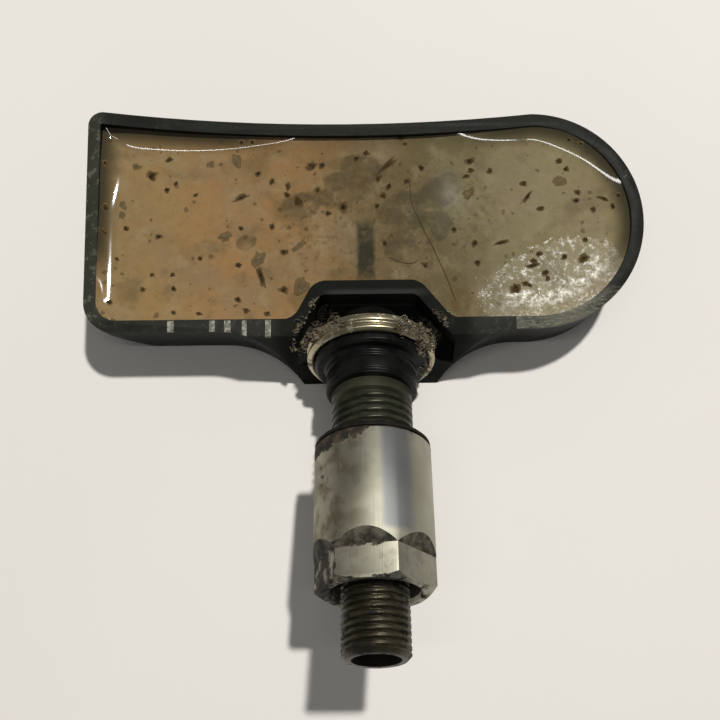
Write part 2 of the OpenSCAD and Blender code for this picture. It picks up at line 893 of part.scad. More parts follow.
housing();
potting();
seat_ring();
grommet();
valve_stem();
clamp_nut();
thrust_washer();
core_body();
core_barrel_seal();
core_pin();
core_cup_seal();
core_spring();
circuit_board();
battery_cell();
battery_tab_top();
battery_tab_bottom();
pressure_sensor_chip();
port_gasket();
transmitter_chip();
crystal_can();
coil_core();
coil_winding();
antenna_contact();
capacitors();
resistors();
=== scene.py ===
import math
import random

import bmesh
import bpy
from mathutils import Matrix, Vector, noise as ripple
from mathutils.bvhtree import BVHTree


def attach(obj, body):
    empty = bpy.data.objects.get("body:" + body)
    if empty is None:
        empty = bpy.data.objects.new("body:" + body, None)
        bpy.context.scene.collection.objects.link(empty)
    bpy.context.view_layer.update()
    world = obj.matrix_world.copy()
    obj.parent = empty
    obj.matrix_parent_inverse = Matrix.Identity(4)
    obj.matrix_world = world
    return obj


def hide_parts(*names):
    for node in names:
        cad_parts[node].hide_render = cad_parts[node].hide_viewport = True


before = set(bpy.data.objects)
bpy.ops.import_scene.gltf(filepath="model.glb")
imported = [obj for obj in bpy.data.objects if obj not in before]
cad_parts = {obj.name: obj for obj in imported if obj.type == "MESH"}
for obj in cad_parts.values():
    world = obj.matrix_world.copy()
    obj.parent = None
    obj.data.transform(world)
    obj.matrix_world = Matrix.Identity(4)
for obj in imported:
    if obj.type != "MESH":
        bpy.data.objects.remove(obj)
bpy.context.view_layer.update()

# Sizes are in millimetres, with X along the tray, Y to its back and Z up.
MM = 0.001
LIFT = math.radians(23.6)
SEAT = Vector((0, 0, 8.2))
ON_STEM = Matrix.Translation(SEAT) @ Matrix.Rotation(math.pi / 2 - LIFT, 4, "X")
ALONG = ON_STEM.to_3x3() @ Vector((0, 0, 1))
STEM_LEN = 39.3
THREAD_R = 4.95
CAP_R = 3.85
BORE_R = 3.9
NUT_REAR = 14.55
RUNOUTS_FROM, RUNOUTS_TO = 24.0, 28.6
TAIL_END = 0.4
WASHER_ROOM = 0.012

RIM_Z = 11.0
RESIN_MID_Z = 10.0
RESIN_TOP_Z = 10.93
NET_STEP = 0.5
MARKS_FROM = -30.0
RIM_MARKS = ((-25.63, -24.78), (-20.37, -19.67), (-18.48, -17.68), (-16.24, -15.66), (-13.33, -12.58))

CAMERA_AT = Vector((-1.4, -18.4, 128.4))
CAMERA_TURN = Matrix.Rotation(math.radians(8.0), 4, "X") @ Matrix.Rotation(math.radians(-0.65), 4, "Z")
LENS = 47.5
SENSOR = 36.0
PICTURE = 720


def seen(px, py, z):
    """The point on the level z, in millimetres, that the photograph shows at this pixel."""
    step = SENSOR / LENS / PICTURE
    ray = CAMERA_TURN.to_3x3() @ Vector(((px - PICTURE / 2) * step, (PICTURE / 2 - py) * step, -1))
    return CAMERA_AT + ray * ((z - CAMERA_AT.z) / ray.z)


# Places in the photograph are pixels across and down. On the resin they are looked up at this level.
RESIN_SEEN_Z = 10.1
# the length of one pixel on the resin
PIXEL = 0.1187
POCKET_LIP = (372, 292.5)
RIM_SCUFF = (628, 173)
GRIME_MIDDLE = (388, 222)
BROWN_STAIN = (461, 301)
CONTACT_NEAR, CONTACT_FAR = (357.5, 277), (374, 223)
HAIR = (
    (410, 180), (410, 190), (411, 200), (414, 209), (418, 217), (424, 230), (432, 245), (439, 260),
    (446, 275), (451, 288), (456, 300))
CURL = ((390, 257), (397, 261), (405, 263), (412, 263), (418, 260))
# heaps of crumbs: pixels across and down, spread in pixels, how many, and the largest size
CRUMBS_LEFT = (
    (321, 309, 12, 170, 0.26), (309, 330, 14, 200, 0.28), (299, 345, 9, 90, 0.34),
    (336, 320, 9, 70, 0.2))
CRUMBS_RIGHT = (
    (432, 328, 17, 300, 0.30), (425, 345, 10, 110, 0.30), (403, 326, 11, 110, 0.18), (426, 368, 6, 40, 0.18))
LINT_SHARE = 0.45
# clouds in the resin: pixels across and down, half length and half width, and turn in radians
MURK = (
    (345, 188, 5.2, 2.6, 0.3), (362, 168, 3.4, 1.9, -0.2), (402, 212, 3.6, 3.0, 0.6),
    (432, 226, 3.0, 2.4, 0.0), (402, 246, 2.6, 2.6, 0.0), (440, 190, 3.8, 2.2, 0.5),
    (300, 206, 3.0, 2.0, 0.2), (246, 242, 1.5, 1.2, 0.4))
# specks in the resin: pixels across and down, length and width in pixels, and turn in degrees
DARK_SPECKS = (
    (150, 174, 9, 7, 20), (105, 163, 5, 4, 0), (168, 157, 5, 4, 40), (166, 188, 5, 4, 0),
    (175, 182, 4, 4, 0), (105, 207, 6, 5, 0), (195, 194, 4, 3, 0), (158, 236, 5, 4, 0),
    (125, 228, 4, 4, 0), (103, 232, 9, 3, 50), (241, 197, 11, 4, -35), (241, 142, 5, 4, 0),
    (252, 142, 4, 4, 0), (258, 173, 5, 4, 0), (272, 181, 5, 4, 0), (288, 186, 5, 4, 0),
    (287, 195, 5, 4, 0), (298, 201, 9, 7, 30), (311, 166, 8, 6, 10), (318, 190, 5, 4, 0),
    (322, 165, 5, 4, 0), (343, 207, 9, 7, 0), (328, 213, 5, 4, 0), (356, 158, 5, 4, 0),
    (366, 153, 5, 4, 0), (272, 226, 5, 4, 0), (241, 228, 4, 4, 0), (284, 252, 6, 4, 20),
    (238, 265, 5, 4, 0), (200, 258, 4, 4, 0), (261, 277, 15, 5, -32), (284, 290, 6, 5, 0),
    (143, 290, 4, 4, 0), (174, 289, 4, 4, 0), (238, 300, 5, 4, 0), (203, 133, 6, 4, 0),
    (200, 315, 5, 3, 0), (175, 314, 4, 3, 0), (247, 311, 5, 4, 0), (267, 314, 5, 4, 0),
    (173, 275, 4, 3, 0), (152, 275, 4, 3, 0), (117, 259, 4, 3, 0), (110, 303, 5, 4, 0),
    (96, 292, 4, 4, 0), (386, 166, 19, 4, -62), (389, 186, 6, 4, 0), (383, 196, 5, 4, 0),
    (400, 138, 5, 4, 0), (405, 144, 4, 3, 0), (378, 178, 5, 4, 0), (377, 206, 5, 4, 0),
    (407, 181, 5, 4, 0), (421, 168, 5, 4, 0), (385, 243, 5, 4, 0), (470, 161, 7, 5, 0),
    (471, 170, 5, 4, 0), (466, 176, 5, 3, 0), (490, 170, 4, 4, 0), (524, 183, 5, 4, 0),
    (528, 196, 11, 3, 60), (541, 208, 5, 4, 0), (559, 161, 5, 4, 0), (566, 169, 4, 4, 0),
    (578, 192, 5, 4, 0), (577, 200, 5, 4, 0), (594, 209, 5, 4, 0), (604, 198, 10, 3, 50),
    (613, 206, 5, 4, 0), (618, 196, 5, 4, 0), (454, 229, 5, 4, 0), (475, 243, 5, 4, 0),
    (502, 242, 11, 3, -30), (540, 253, 5, 4, 0), (534, 260, 5, 4, 0), (533, 265, 10, 3, 15),
    (565, 256, 5, 4, 0), (584, 258, 8, 6, 0), (546, 272, 5, 4, 0), (548, 278, 4, 4, 0),
    (526, 283, 5, 4, 0), (530, 285, 4, 3, 0), (516, 288, 9, 7, 0), (478, 262, 5, 4, 0),
    (425, 265, 5, 4, 0), (586, 239, 4, 4, 0), (568, 141, 5, 3, 0), (580, 145, 5, 3, 0))
FAINT_SPECKS = (
    (135, 165, 7, 5, 0), (122, 204, 7, 5, 0), (121, 214, 6, 5, 0), (237, 158, 12, 6, 10), (210, 163, 6, 5, 0),
    (225, 236, 9, 7, 0), (258, 260, 13, 9, 60), (298, 246, 13, 4, 40), (301, 287, 11, 10, 0),
    (469, 193, 11, 6, 0), (560, 180, 10, 6, 20))


def spot_of(place, z):
    """A place in the photograph, on the level z, as x and y in metres."""
    spot = seen(*place, z)
    return spot.x * MM, spot.y * MM


# node helpers

def add(tree, kind, **settings):
    node = tree.nodes.new(kind)
    for key, value in settings.items():
        if key.startswith("in_"):
            node.inputs[int(key[3:])].default_value = value
        else:
            setattr(node, key, value)
    return node


def link(tree, source, target):
    tree.links.new(source, target)


def feed(tree, value, socket):
    """Puts a number, a colour or another node's output into a socket."""
    if isinstance(value, (int, float)):
        socket.default_value = value
    elif isinstance(value, tuple):
        socket.default_value = (*value, 1)
    else:
        link(tree, value, socket)


def math_node(tree, operation, a, b=None, clamp=False):
    node = add(tree, "ShaderNodeMath", operation=operation, use_clamp=clamp)
    feed(tree, a, node.inputs[0])
    if b is not None:
        feed(tree, b, node.inputs[1])
    return node.outputs[0]


def times(tree, a, b):
    return math_node(tree, "MULTIPLY", a, b)


def plus(tree, a, b):
    return math_node(tree, "ADD", a, b)


def minus(tree, a, b):
    return math_node(tree, "SUBTRACT", a, b)


def larger(tree, a, b):
    return math_node(tree, "MAXIMUM", a, b)


def unsigned(tree, a):
    return math_node(tree, "ABSOLUTE", a)


def ramp(tree, source, low, high, to_low=0.0, to_high=1.0, kind="SMOOTHSTEP"):
    """Takes source from low and high to to_low and to_high, with soft ends unless kind is LINEAR."""
    node = add(tree, "ShaderNodeMapRange", interpolation_type=kind)
    for value, socket in zip((source, low, high, to_low, to_high), node.inputs):
        feed(tree, value, socket)
    return node.outputs[0]


def blend_colours(tree, mask, under, over):
    node = add(tree, "ShaderNodeMix", data_type="RGBA")
    for i, value in ((0, mask), (6, under), (7, over)):
        feed(tree, value, node.inputs[i])
    return node.outputs[2]


def two_tone(tree, source, low, high, under, over):
    """A colour that goes from one to the other as source goes from low to high."""
    return blend_colours(tree, ramp(tree, source, low, high), under, over)


def object_place(tree):
    return add(tree, "ShaderNodeTexCoord").outputs["Object"]


def stem_place(tree):
    """Object coordinates turned so that Z runs along the stem from its seat."""
    turn = add(tree, "ShaderNodeMapping", vector_type="TEXTURE")
    turn.inputs[1].default_value = SEAT * MM
    turn.inputs[2].default_value = (math.pi / 2 - LIFT, 0, 0)
    link(tree, object_place(tree), turn.inputs[0])
    return turn.outputs[0]


def stretched(tree, place, scale, turn=0.0):
    node = add(tree, "ShaderNodeMapping")
    node.inputs[2].default_value = (0, 0, turn)
    node.inputs[3].default_value = scale
    link(tree, place, node.inputs[0])
    return node.outputs[0]


def noise(tree, place, scale, detail=4.0, rough=0.55):
    node = add(tree, "ShaderNodeTexNoise", in_3=detail, in_4=rough)
    link(tree, place, node.inputs["Vector"])
    feed(tree, scale, node.inputs["Scale"])
    return node.outputs[0]


def axes(tree, place):
    node = add(tree, "ShaderNodeSeparateXYZ")
    link(tree, place, node.inputs[0])
    return node.outputs


# effects shared by several materials

def effect(name, inputs, outputs):
    group = bpy.data.node_groups.new(name, "ShaderNodeTree")
    for label, kind, value in inputs:
        socket = group.interface.new_socket(name=label, in_out="INPUT", socket_type=kind)
        if value is not None:
            socket.default_value = value
    for label in outputs:
        kind = "NodeSocketColor" if label == "Tint" else "NodeSocketFloat"
        group.interface.new_socket(name=label, in_out="OUTPUT", socket_type=kind)
    return group, add(group, "NodeGroupInput").outputs, add(group, "NodeGroupOutput").inputs


PLACE = ("Place", "NodeSocketVector", None)
NUMBER = "NodeSocketFloat"


def patch_effect(name, detail, rough, bare, covered, steepness):
    """Patches with ragged edges. Amount goes from 0, hardly any, to 1, nearly everywhere."""
    inputs = [PLACE, ("Scale", NUMBER, 300), ("Amount", NUMBER, 0.5)]
    group, given, out = effect(name, inputs, ["Mask"])
    cloud = noise(group, given["Place"], given["Scale"], detail, rough)
    raised = minus(group, cloud, ramp(group, given["Amount"], 0, 1, bare, covered))
    link(group, math_node(group, "MULTIPLY", raised, steepness, clamp=True), out["Mask"])
    return group


def speck_effect():
    """Scattered specks of uneven size and outline."""
    group, given, out = effect("specks", [PLACE, ("Scale", NUMBER, 400), ("Size", NUMBER, 0.2)], ["Mask"])
    wobble = add(group, "ShaderNodeTexNoise", in_2=2600.0, in_3=3.0)
    link(group, given["Place"], wobble.inputs["Vector"])
    shift = add(group, "ShaderNodeVectorMath", operation="MULTIPLY_ADD")
    link(group, wobble.outputs["Color"], shift.inputs[0])
    shift.inputs[1].default_value = (0.0006, 0.0006, 0.0006)
    link(group, given["Place"], shift.inputs[2])
    cells = add(group, "ShaderNodeTexVoronoi", feature="F1")
    link(group, shift.outputs[0], cells.inputs["Vector"])
    link(group, given["Scale"], cells.inputs["Scale"])
    split = add(group, "ShaderNodeSeparateColor")
    link(group, cells.outputs["Color"], split.inputs[0])
    size = times(group, given["Size"], math_node(group, "POWER", split.outputs[0], 2.5))
    inside = minus(group, size, cells.outputs["Distance"])
    link(group, math_node(group, "MULTIPLY", inside, 22.0, clamp=True), out["Mask"])
    return group


def grain_effect():
    """A height for the fine grain of moulded or cast surfaces."""
    group, given, out = effect("grain", [PLACE, ("Scale", NUMBER, 2500)], ["Height"])
    coarse = noise(group, given["Place"], given["Scale"], 5.0, 0.6)
    link(group, coarse, out["Height"])
    return group


DIRT = patch_effect("dirt", 8.0, 0.68, 0.78, 0.22, 12.0)
SCRATCHES = patch_effect("scratches", 2.0, 0.5, 0.80, 0.35, 9.0)
SPECKS = speck_effect()
GRAIN = grain_effect()


def use(tree, group, place, **values):
    """Places a shared effect with values of its own and gives its mask, height or tint."""
    node = add(tree, "ShaderNodeGroup", node_tree=group)
    link(tree, place, node.inputs["Place"])
    for key, value in values.items():
        feed(tree, value, node.inputs[key.capitalize()])
    return node.outputs[0]


def new_material(name, roughness=0.5, metallic=0.0, coat=0.0, specular=0.5):
    mat = bpy.data.materials.new(name)
    mat.use_nodes = True
    tree = mat.node_tree
    tree.nodes.clear()
    out = add(tree, "ShaderNodeOutputMaterial")
    shader = add(tree, "ShaderNodeBsdfPrincipled")
    shader.inputs["Roughness"].default_value = roughness
    shader.inputs["Metallic"].default_value = metallic
    shader.inputs["Coat Weight"].default_value = coat
    shader.inputs["Specular IOR Level"].default_value = specular
    link(tree, shader.outputs[0], out.inputs[0])
    return mat, tree, shader.inputs


def raise_surface(tree, sockets, height, distance, strength):
    bump = add(tree, "ShaderNodeBump")
    bump.inputs["Strength"].default_value = strength
    bump.inputs["Distance"].default_value = distance
    link(tree, height, bump.inputs["Height"])
    link(tree, bump.outputs[0], sockets["Normal"])


# materials

def rim_marks(tree, x):
    """Pale marks across the front rim, where RIM_MARKS has them along X."""
    marks = add(tree, "ShaderNodeValToRGB")
    marks.color_ramp.interpolation = "CONSTANT"
    link(tree, ramp(tree, x, MARKS_FROM * MM, 0.0, kind="LINEAR"), marks.inputs[0])
    stops = marks.color_ramp.elements
    stops[0].color = (0, 0, 0, 1)
    stops[1].position, stops[1].color = 1.0, (0, 0, 0, 1)
    for span in RIM_MARKS:
        for edge, level in zip(span, (1, 0)):
            stops.new((edge - MARKS_FROM) / -MARKS_FROM).color = (level, level, level, 1)
    return marks.outputs[0]


def housing_plastic():
    mat, tree, sockets = new_material("housing_plastic", 0.55, specular=0.1)
    place = object_place(tree)
    x, y, z = axes(tree, place)
    mottle = noise(tree, place, 260, 6)
    colour = two_tone(tree, mottle, 0.35, 0.7, (0.0070, 0.0080, 0.0060), (0.0135, 0.0155, 0.0115))
    top = ramp(tree, z, 0.0104, 0.0109)
    # the rims are rubbed greyer, most of all at the left end
    scuffed = use(tree, DIRT, place, scale=900, amount=0.46)
    left_end = ramp(tree, x, -0.033, -0.0355, ramp(tree, y, 0.006, 0.004, 0.08, 0.30), 1.0)
    rubbed = times(tree, times(tree, top, left_end), ramp(tree, scuffed, 0, 1, 0.2, 0.75))
    colour = blend_colours(tree, rubbed, colour, (0.115, 0.117, 0.086))
    dusty = use(tree, DIRT, place, scale=1700, amount=0.36)
    colour = blend_colours(tree, times(tree, dusty, 0.4), colour, (0.055, 0.052, 0.038))
    # painted shade makes the rim behind the pocket blacker, and a painted highlight gives it a lighter lip
    aside = unsigned(tree, minus(tree, x, 0.0005))
    pocket = times(tree, ramp(tree, aside, 0.0135, 0.0110), ramp(tree, y, 0.0108, 0.0098))
    colour = blend_colours(tree, times(tree, pocket, 0.75), colour, (0.0055, 0.0062, 0.0048))
    off_lip = unsigned(tree, minus(tree, y, spot_of(POCKET_LIP, RIM_Z)[1]))
    lip = times(tree, ramp(tree, off_lip, 0.0007, 0.0001), ramp(tree, aside, 0.0075, 0.0045))
    colour = blend_colours(tree, times(tree, lip, 0.7), colour, (0.040, 0.041, 0.036))
    # the scraped stretch of the rim at the round end
    front = times(tree, ramp(tree, y, 0.0078, 0.0058), ramp(tree, x, 0.01828, 0.01834))
    streaks = use(tree, SCRATCHES, stretched(tree, place, (0.7, 3.0, 3.0), 0.45), scale=1800, amount=0.60)
    patches = use(tree, DIRT, place, scale=300, amount=0.72)
    scraped = times(tree, times(tree, front, top), patches)
    silver = two_tone(tree, mottle, 0.38, 0.62, (0.040, 0.041, 0.031), (0.118, 0.115, 0.086))
    shine = blend_colours(tree, times(tree, streaks, 0.45), silver, (0.26, 0.25, 0.19))
    colour = blend_colours(tree, scraped, colour, shine)
    on_front = times(tree, ramp(tree, y, 0.0034, 0.0032), ramp(tree, z, 0.0106, 0.0108))
    flecks = ramp(tree, noise(tree, place, 2600, 3), 0.38, 0.62)
    pale = blend_colours(tree, flecks, (0.11, 0.11, 0.088), (0.33, 0.315, 0.26))
    colour = blend_colours(tree, times(tree, rim_marks(tree, x), on_front), colour, pale)
    # a scuff on the back rim at the round end
    scuff = oval(tree, x, y, spot_of(RIM_SCUFF, RIM_Z), (0.0009, 0.0005), 0.9)
    scuff = times(tree, scuff, times(tree, flecks, top))
    colour = blend_colours(tree, times(tree, scuff, 0.5), colour, (0.10, 0.10, 0.078))
    link(tree, colour, sockets["Base Color"])
    rough = minus(tree, ramp(tree, mottle, 0.3, 0.7, 0.48, 0.62), times(tree, scraped, 0.1))
    link(tree, plus(tree, rough, times(tree, pocket, 0.25)), sockets["Roughness"])
    height = plus(tree, use(tree, GRAIN, place, scale=2600), times(tree, scraped, streaks))
    raise_surface(tree, sockets, height, 0.00006, 0.45)
    return mat


def resin_tint_effect():
    """Colour of the hardened resin, from orange tan at the left to olive at the round end."""
    group, given, out = effect("resin_tint", [PLACE], ["Tint"])
    place = given["Place"]
    x = axes(group, place)[0]
    wander = times(group, minus(group, noise(group, place, 70, 4), 0.5), 0.016)
    tint = add(group, "ShaderNodeValToRGB")
    link(group, ramp(group, plus(group, x, wander), -0.036, 0.036, kind="LINEAR"), tint.inputs[0])
    stops = tint.color_ramp.elements
    stops[0].position, stops[0].color = 0.0, (0.235, 0.160, 0.075, 1)
    stops[1].position, stops[1].color = 1.0, (0.225, 0.185, 0.092, 1)
    middle = ((0.10, (0.262, 0.168, 0.070)), (0.25, (0.272, 0.160, 0.066)), (0.42, (0.230, 0.137, 0.057)),
              (0.53, (0.135, 0.094, 0.040)), (0.62, (0.118, 0.094, 0.043)), (0.78, (0.205, 0.176, 0.092)))
    for where, colour in middle:
        stops.new(where).color = (*colour, 1)
    colour = tint.outputs[0]
    greyer = ramp(group, noise(group, place, 120, 5), 0.45, 0.65, 0.0, 0.5)
    colour = blend_colours(group, greyer, colour, (0.205, 0.155, 0.092))
    haze = noise(group, place, 420, 7, 0.62)
    colour = blend_colours(group, ramp(group, haze, 0.45, 0.75, 0.0, 0.4), colour, (0.30, 0.245, 0.14))
    shade = noise(group, place, 190, 6, 0.6)
    colour = blend_colours(group, ramp(group, shade, 0.50, 0.32, 0.0, 0.5), colour, (0.10, 0.075, 0.034))
    link(group, colour, out["Tint"])
    return group


RESIN_TINT = resin_tint_effect()


def murky_clouds(tree, x, y, swirl):
    """Clouds with torn edges where MURK has them."""
    murk = None
    for px, py, half_x, half_y, turn in MURK:
        cloud = oval(tree, x, y, spot_of((px, py), RESIN_SEEN_Z), (half_x * MM, half_y * MM), turn)
        murk = cloud if murk is None else larger(tree, murk, cloud)
    torn = plus(tree, murk, times(tree, minus(tree, swirl, 0.5), 4.0))
    return times(tree, ramp(tree, torn, 0.35, 1.25), ramp(tree, murk, 0.0, 0.5))


def frosting_and_glitter_mask(tree, place, x, y, patch, shore, crystals):
    """Whitish frosting in flecks over the patch, partly painted glitter, thinner at its back, with a painted
    glare line along the wall.
    """
    back = oval(tree, x, y, (0.0232, 0.0089), (0.0052, 0.0028), 0.42)
    frost_and_glitter = times(tree, patch, ramp(tree, noise(tree, place, 2400, 6, 0.75), 0.45, 0.60))
    frost_and_glitter = times(tree, frost_and_glitter, ramp(tree, noise(tree, place, 520, 4), 0.40, 0.58, 0.12, 1.0))
    frost_and_glitter = times(tree, frost_and_glitter, ramp(tree, back, 0.0, 1.0, 1.0, 0.30))
    glare_line = times(tree, ramp(tree, shore, 0.0042, 0.0026), ramp(tree, shore, 0.0010, 0.0020))
    glare_line = times(tree, times(tree, glare_line, patch), ramp(tree, crystals, 0.40, 0.56))
    return larger(tree, frost_and_glitter, glare_line)


def contact_strip(tree, x, y, crystals, ragged):
    """The darker strip over the contact behind the pocket."""
    near, far = spot_of(CONTACT_NEAR, RESIN_SEEN_Z), spot_of(CONTACT_FAR, RESIN_SEEN_Z)
    sides = []
    for axis, low, high in zip((x, y), near, far):
        off = unsigned(tree, minus(tree, axis, (low + high) / 2))
        sides.append(math_node(tree, "DIVIDE", off, (high - low) / 2))
    reach = plus(tree, larger(tree, *sides), times(tree, minus(tree, crystals, 0.5), 0.5))
    return times(tree, ramp(tree, reach, 1.36, 0.66), ramp(tree, ragged, 0, 1, 0.55, 0.88))


def potting_resin():
    mat, tree, sockets = new_material("potting_resin", 0.1, specular=0.5)
    place = object_place(tree)
    x, y, _ = axes(tree, place)
    colour = use(tree, RESIN_TINT, place)
    swirl = noise(tree, place, 380, 7, 0.65)
    ragged = ramp(tree, swirl, 0.34, 0.58)
    murk = times(tree, murky_clouds(tree, x, y, swirl), 0.68)
    colour = blend_colours(tree, murk, colour, (0.058, 0.047, 0.024))
    # fine grime, thickest over the middle
    middle = oval(tree, x, y, spot_of(GRIME_MIDDLE, RESIN_SEEN_Z), (0.0150, 0.0082), 0.1)
    grains = ramp(tree, noise(tree, place, 1100, 8, 0.72), 0.47, 0.66)
    grime = times(tree, grains, ramp(tree, middle, 0.0, 1.0, 0.14, 0.52))
    colour = blend_colours(tree, grime, colour, (0.060, 0.044, 0.021))
    # painted shade, darker along the left and back walls
    shore = add(tree, "ShaderNodeAttribute", attribute_name="shore").outputs["Fac"]
    shade = times(tree, ramp(tree, shore, 0.0027, 0.0002), ramp(tree, y, 0.007, 0.014))
    shade = times(tree, shade, ramp(tree, unsigned(tree, x), 0.008, 0.018, 0.25, 0.95))
    colour = blend_colours(tree, shade, colour, (0.040, 0.033, 0.017))
    fine = use(tree, SPECKS, place, scale=900, size=0.34)
    colour = blend_colours(tree, times(tree, fine, 0.6), colour, (0.060, 0.042, 0.020))
    # a brown stain, then the frosty patch near the round end's front, whitened partly by painted glitter and
    # glare
    stain = oval(tree, x, y, spot_of(BROWN_STAIN, RESIN_SEEN_Z), (0.0014, 0.0019), 0.2)
    stain = times(tree, times(tree, stain, ragged), 0.7)
    colour = blend_colours(tree, stain, colour, (0.10, 0.055, 0.020))
    patch = oval(tree, x, y, (0.0242, 0.0068), (0.0078, 0.0043), 0.42)
    crystals = noise(tree, place, 1300, 8, 0.75)
    frost_and_glitter = frosting_and_glitter_mask(tree, place, x, y, patch, shore, crystals)
    colour = blend_colours(tree, times(tree, frost_and_glitter, 0.78), colour, (0.62, 0.60, 0.50))
    strip = contact_strip(tree, x, y, crystals, ragged)
    link(tree, blend_colours(tree, strip, colour, (0.015, 0.018, 0.012)), sockets["Base Color"])
    # the resin is glossy but for a hazy zone, wider than the frost, that is crazed
    haze = oval(tree, x, y, (0.0234, 0.0074), (0.0102, 0.0058), 0.40)
    grit = plus(tree, haze, times(tree, minus(tree, crystals, 0.5), 2.6))
    crazed = ramp(tree, crystals, 0.48, 0.62, 0.72, 0.36)
    rough = ramp(tree, ramp(tree, grit, 0.49, 0.52), 0, 1, 0.045, crazed)
    link(tree, rough, sockets["Roughness"])
    ridges = minus(tree, noise(tree, place, 700, 6, 0.6), 0.5)
    height = times(tree, ridges, ramp(tree, patch, 0, 1, 0.01, 0.4))
    raise_surface(tree, sockets, plus(tree, height, times(tree, frost_and_glitter, 0.3)), 0.0001, 0.6)
    return mat


def squared(tree, a):
    return math_node(tree, "POWER", unsigned(tree, a), 2.0)


def oval(tree, x, y, centre, half, turn):
    """A soft oval patch on the tray's top, with half its length and half its width."""
    dx = minus(tree, x, centre[0])
    dy = minus(tree, y, centre[1])
    c, s = math.cos(turn), math.sin(turn)
    along = plus(tree, times(tree, dx, c / half[0]), times(tree, dy, s / half[0]))
    across = plus(tree, times(tree, dx, -s / half[1]), times(tree, dy, c / half[1]))
    far = plus(tree, squared(tree, along), squared(tree, across))
    return ramp(tree, far, 1.25, 0.55)


def dirty_metal(name, clean, shade, grime, rough, dirt_scale, dirt_amount):
    """Turned metal with dirt in patches."""
    mat, tree, sockets = new_material(name, rough, 1.0)
    place = stem_place(tree)
    colour = two_tone(tree, noise(tree, place, 190, 5), 0.35, 0.7, clean, shade)
    dirt = use(tree, DIRT, place, scale=dirt_scale, amount=dirt_amount)
    link(tree, blend_colours(tree, dirt, colour, grime), sockets["Base Color"])
    turned = use(tree, SCRATCHES, stretched(tree, place, (0.15, 0.15, 4.0)), scale=1400, amount=0.5)
    worn = plus(tree, times(tree, turned, 0.08), rough)
    link(tree, plus(tree, times(tree, dirt, 0.35), worn), sockets["Roughness"])
    link(tree, minus(tree, 1.0, dirt), sockets["Metallic"])
    raise_surface(tree, sockets, plus(tree, dirt, times(tree, turned, 0.15)), 0.00005, 0.6)
    return mat


def nut_plating():
    mat, tree, sockets = new_material("nut_plating", 0.38, 1.0)
    place = stem_place(tree)
    x, _, t = axes(tree, place)
    cloud = noise(tree, place, 160, 5)
    colour = two_tone(tree, cloud, 0.35, 0.7, (0.44, 0.43, 0.35), (0.34, 0.33, 0.26))
    # dirt: thick at the rear left edge, in the run-outs of the flats and on the left flats
    left = ramp(tree, x, 0.0025, -0.0060)
    rear = times(tree, ramp(tree, t, 0.0186, 0.0147), ramp(tree, left, 0, 1, 0.46, 1.0))
    # the black band at the very rear edge is a painted dark reflection on the chamfer, fed in with the dirt
    edge = ramp(tree, t, 0.01495, 0.01475)
    runouts = times(tree, ramp(tree, t, 0.0276, 0.0280), ramp(tree, t, 0.0296, 0.0284))
    end = ramp(tree, t, 0.0315, 0.0320)
    flats = times(tree, ramp(tree, x, -0.0015, -0.0055), ramp(tree, t, 0.0268, 0.0282))
    runouts = times(tree, runouts, ramp(tree, x, 0.003, -0.003, 0.40, 0.66))
    amount = larger(tree, larger(tree, rear, runouts), times(tree, flats, 0.62))
    amount = larger(tree, amount, times(tree, end, 0.5))
    amount = larger(tree, amount, times(tree, left, 0.40))
    amount = larger(tree, amount, edge)
    dirt = use(tree, DIRT, place, scale=620, amount=amount)
    tones = ramp(tree, noise(tree, place, 900, 4), 0.4, 0.65)
    grime = blend_colours(tree, tones, (0.010, 0.008, 0.005), (0.060, 0.046, 0.028))
    brown = blend_colours(tree, tones, (0.012, 0.008, 0.005), (0.058, 0.040, 0.023))
    grime = blend_colours(tree, times(tree, rear, minus(tree, 1.0, edge)), grime, brown)
    # painted dark reflection, brownish and patchy, on the sleeve's left side
    left_dark_reflection = times(tree, left, ramp(tree, noise(tree, place, 420, 6), 0.42, 0.62, 0.25, 0.85))
    colour = blend_colours(tree, left_dark_reflection, colour, (0.15, 0.125, 0.072))
    on_flats = ramp(tree, t, 0.0275, 0.0285)
    greyed = times(tree, on_flats, ramp(tree, x, 0.005, -0.002, 0.35, 0.55))
    colour = blend_colours(tree, greyed, colour, (0.22, 0.21, 0.165))
    # a painted reflection: a cooler streak along the sleeve, right of its middle
    cool_reflection = times(tree, ramp(tree, x, 0.0004, 0.0014), ramp(tree, x, 0.0048, 0.0036))
    cool_reflection = times(tree, cool_reflection, ramp(tree, t, 0.0274, 0.0264))
    colour = blend_colours(tree, times(tree, cool_reflection, 0.78), colour, (0.205, 0.216, 0.233))
    stain = times(tree, on_flats, ramp(tree, noise(tree, place, 700, 6, 0.65), 0.50, 0.66, 0.0, 0.4))
    colour = blend_colours(tree, stain, colour, (0.15, 0.135, 0.095))
    colour = blend_colours(tree, dirt, colour, grime)
    link(tree, colour, sockets["Base Color"])
    link(tree, minus(tree, 1.0, dirt), sockets["Metallic"])
    drawn = use(tree, SCRATCHES, stretched(tree, place, (5.0, 5.0, 0.15)), scale=1100, amount=0.45)
    sleeve = ramp(tree, t, 0.0190, 0.0260, 0.47, 0.58)
    worn = plus(tree, times(tree, drawn, 0.07), ramp(tree, on_flats, 0, 1, sleeve, 0.48))
    link(tree, plus(tree, times(tree, dirt, 0.4), worn), sockets["Roughness"])
    raise_surface(tree, sockets, plus(tree, times(tree, dirt, 0.15), times(tree, drawn, 0.1)), 0.00006, 0.6)
    return mat


def runout_grime():
    """Caked grime in the hollows where the nut's flats run out."""
    mat, tree, sockets = new_material("runout_grime", 0.6, specular=0.25)
    place = stem_place(tree)
    tones = noise(tree, place, 800, 6, 0.65)
    colour = two_tone(tree, tones, 0.38, 0.66, (0.016, 0.014, 0.009), (0.090, 0.082, 0.058))
    link(tree, colour, sockets["Base Color"])
    link(tree, ramp(tree, tones, 0.3, 0.7, 0.7, 0.5), sockets["Roughness"])
    raise_surface(tree, sockets, noise(tree, place, 2600, 5), 0.00006, 0.6)
    return mat


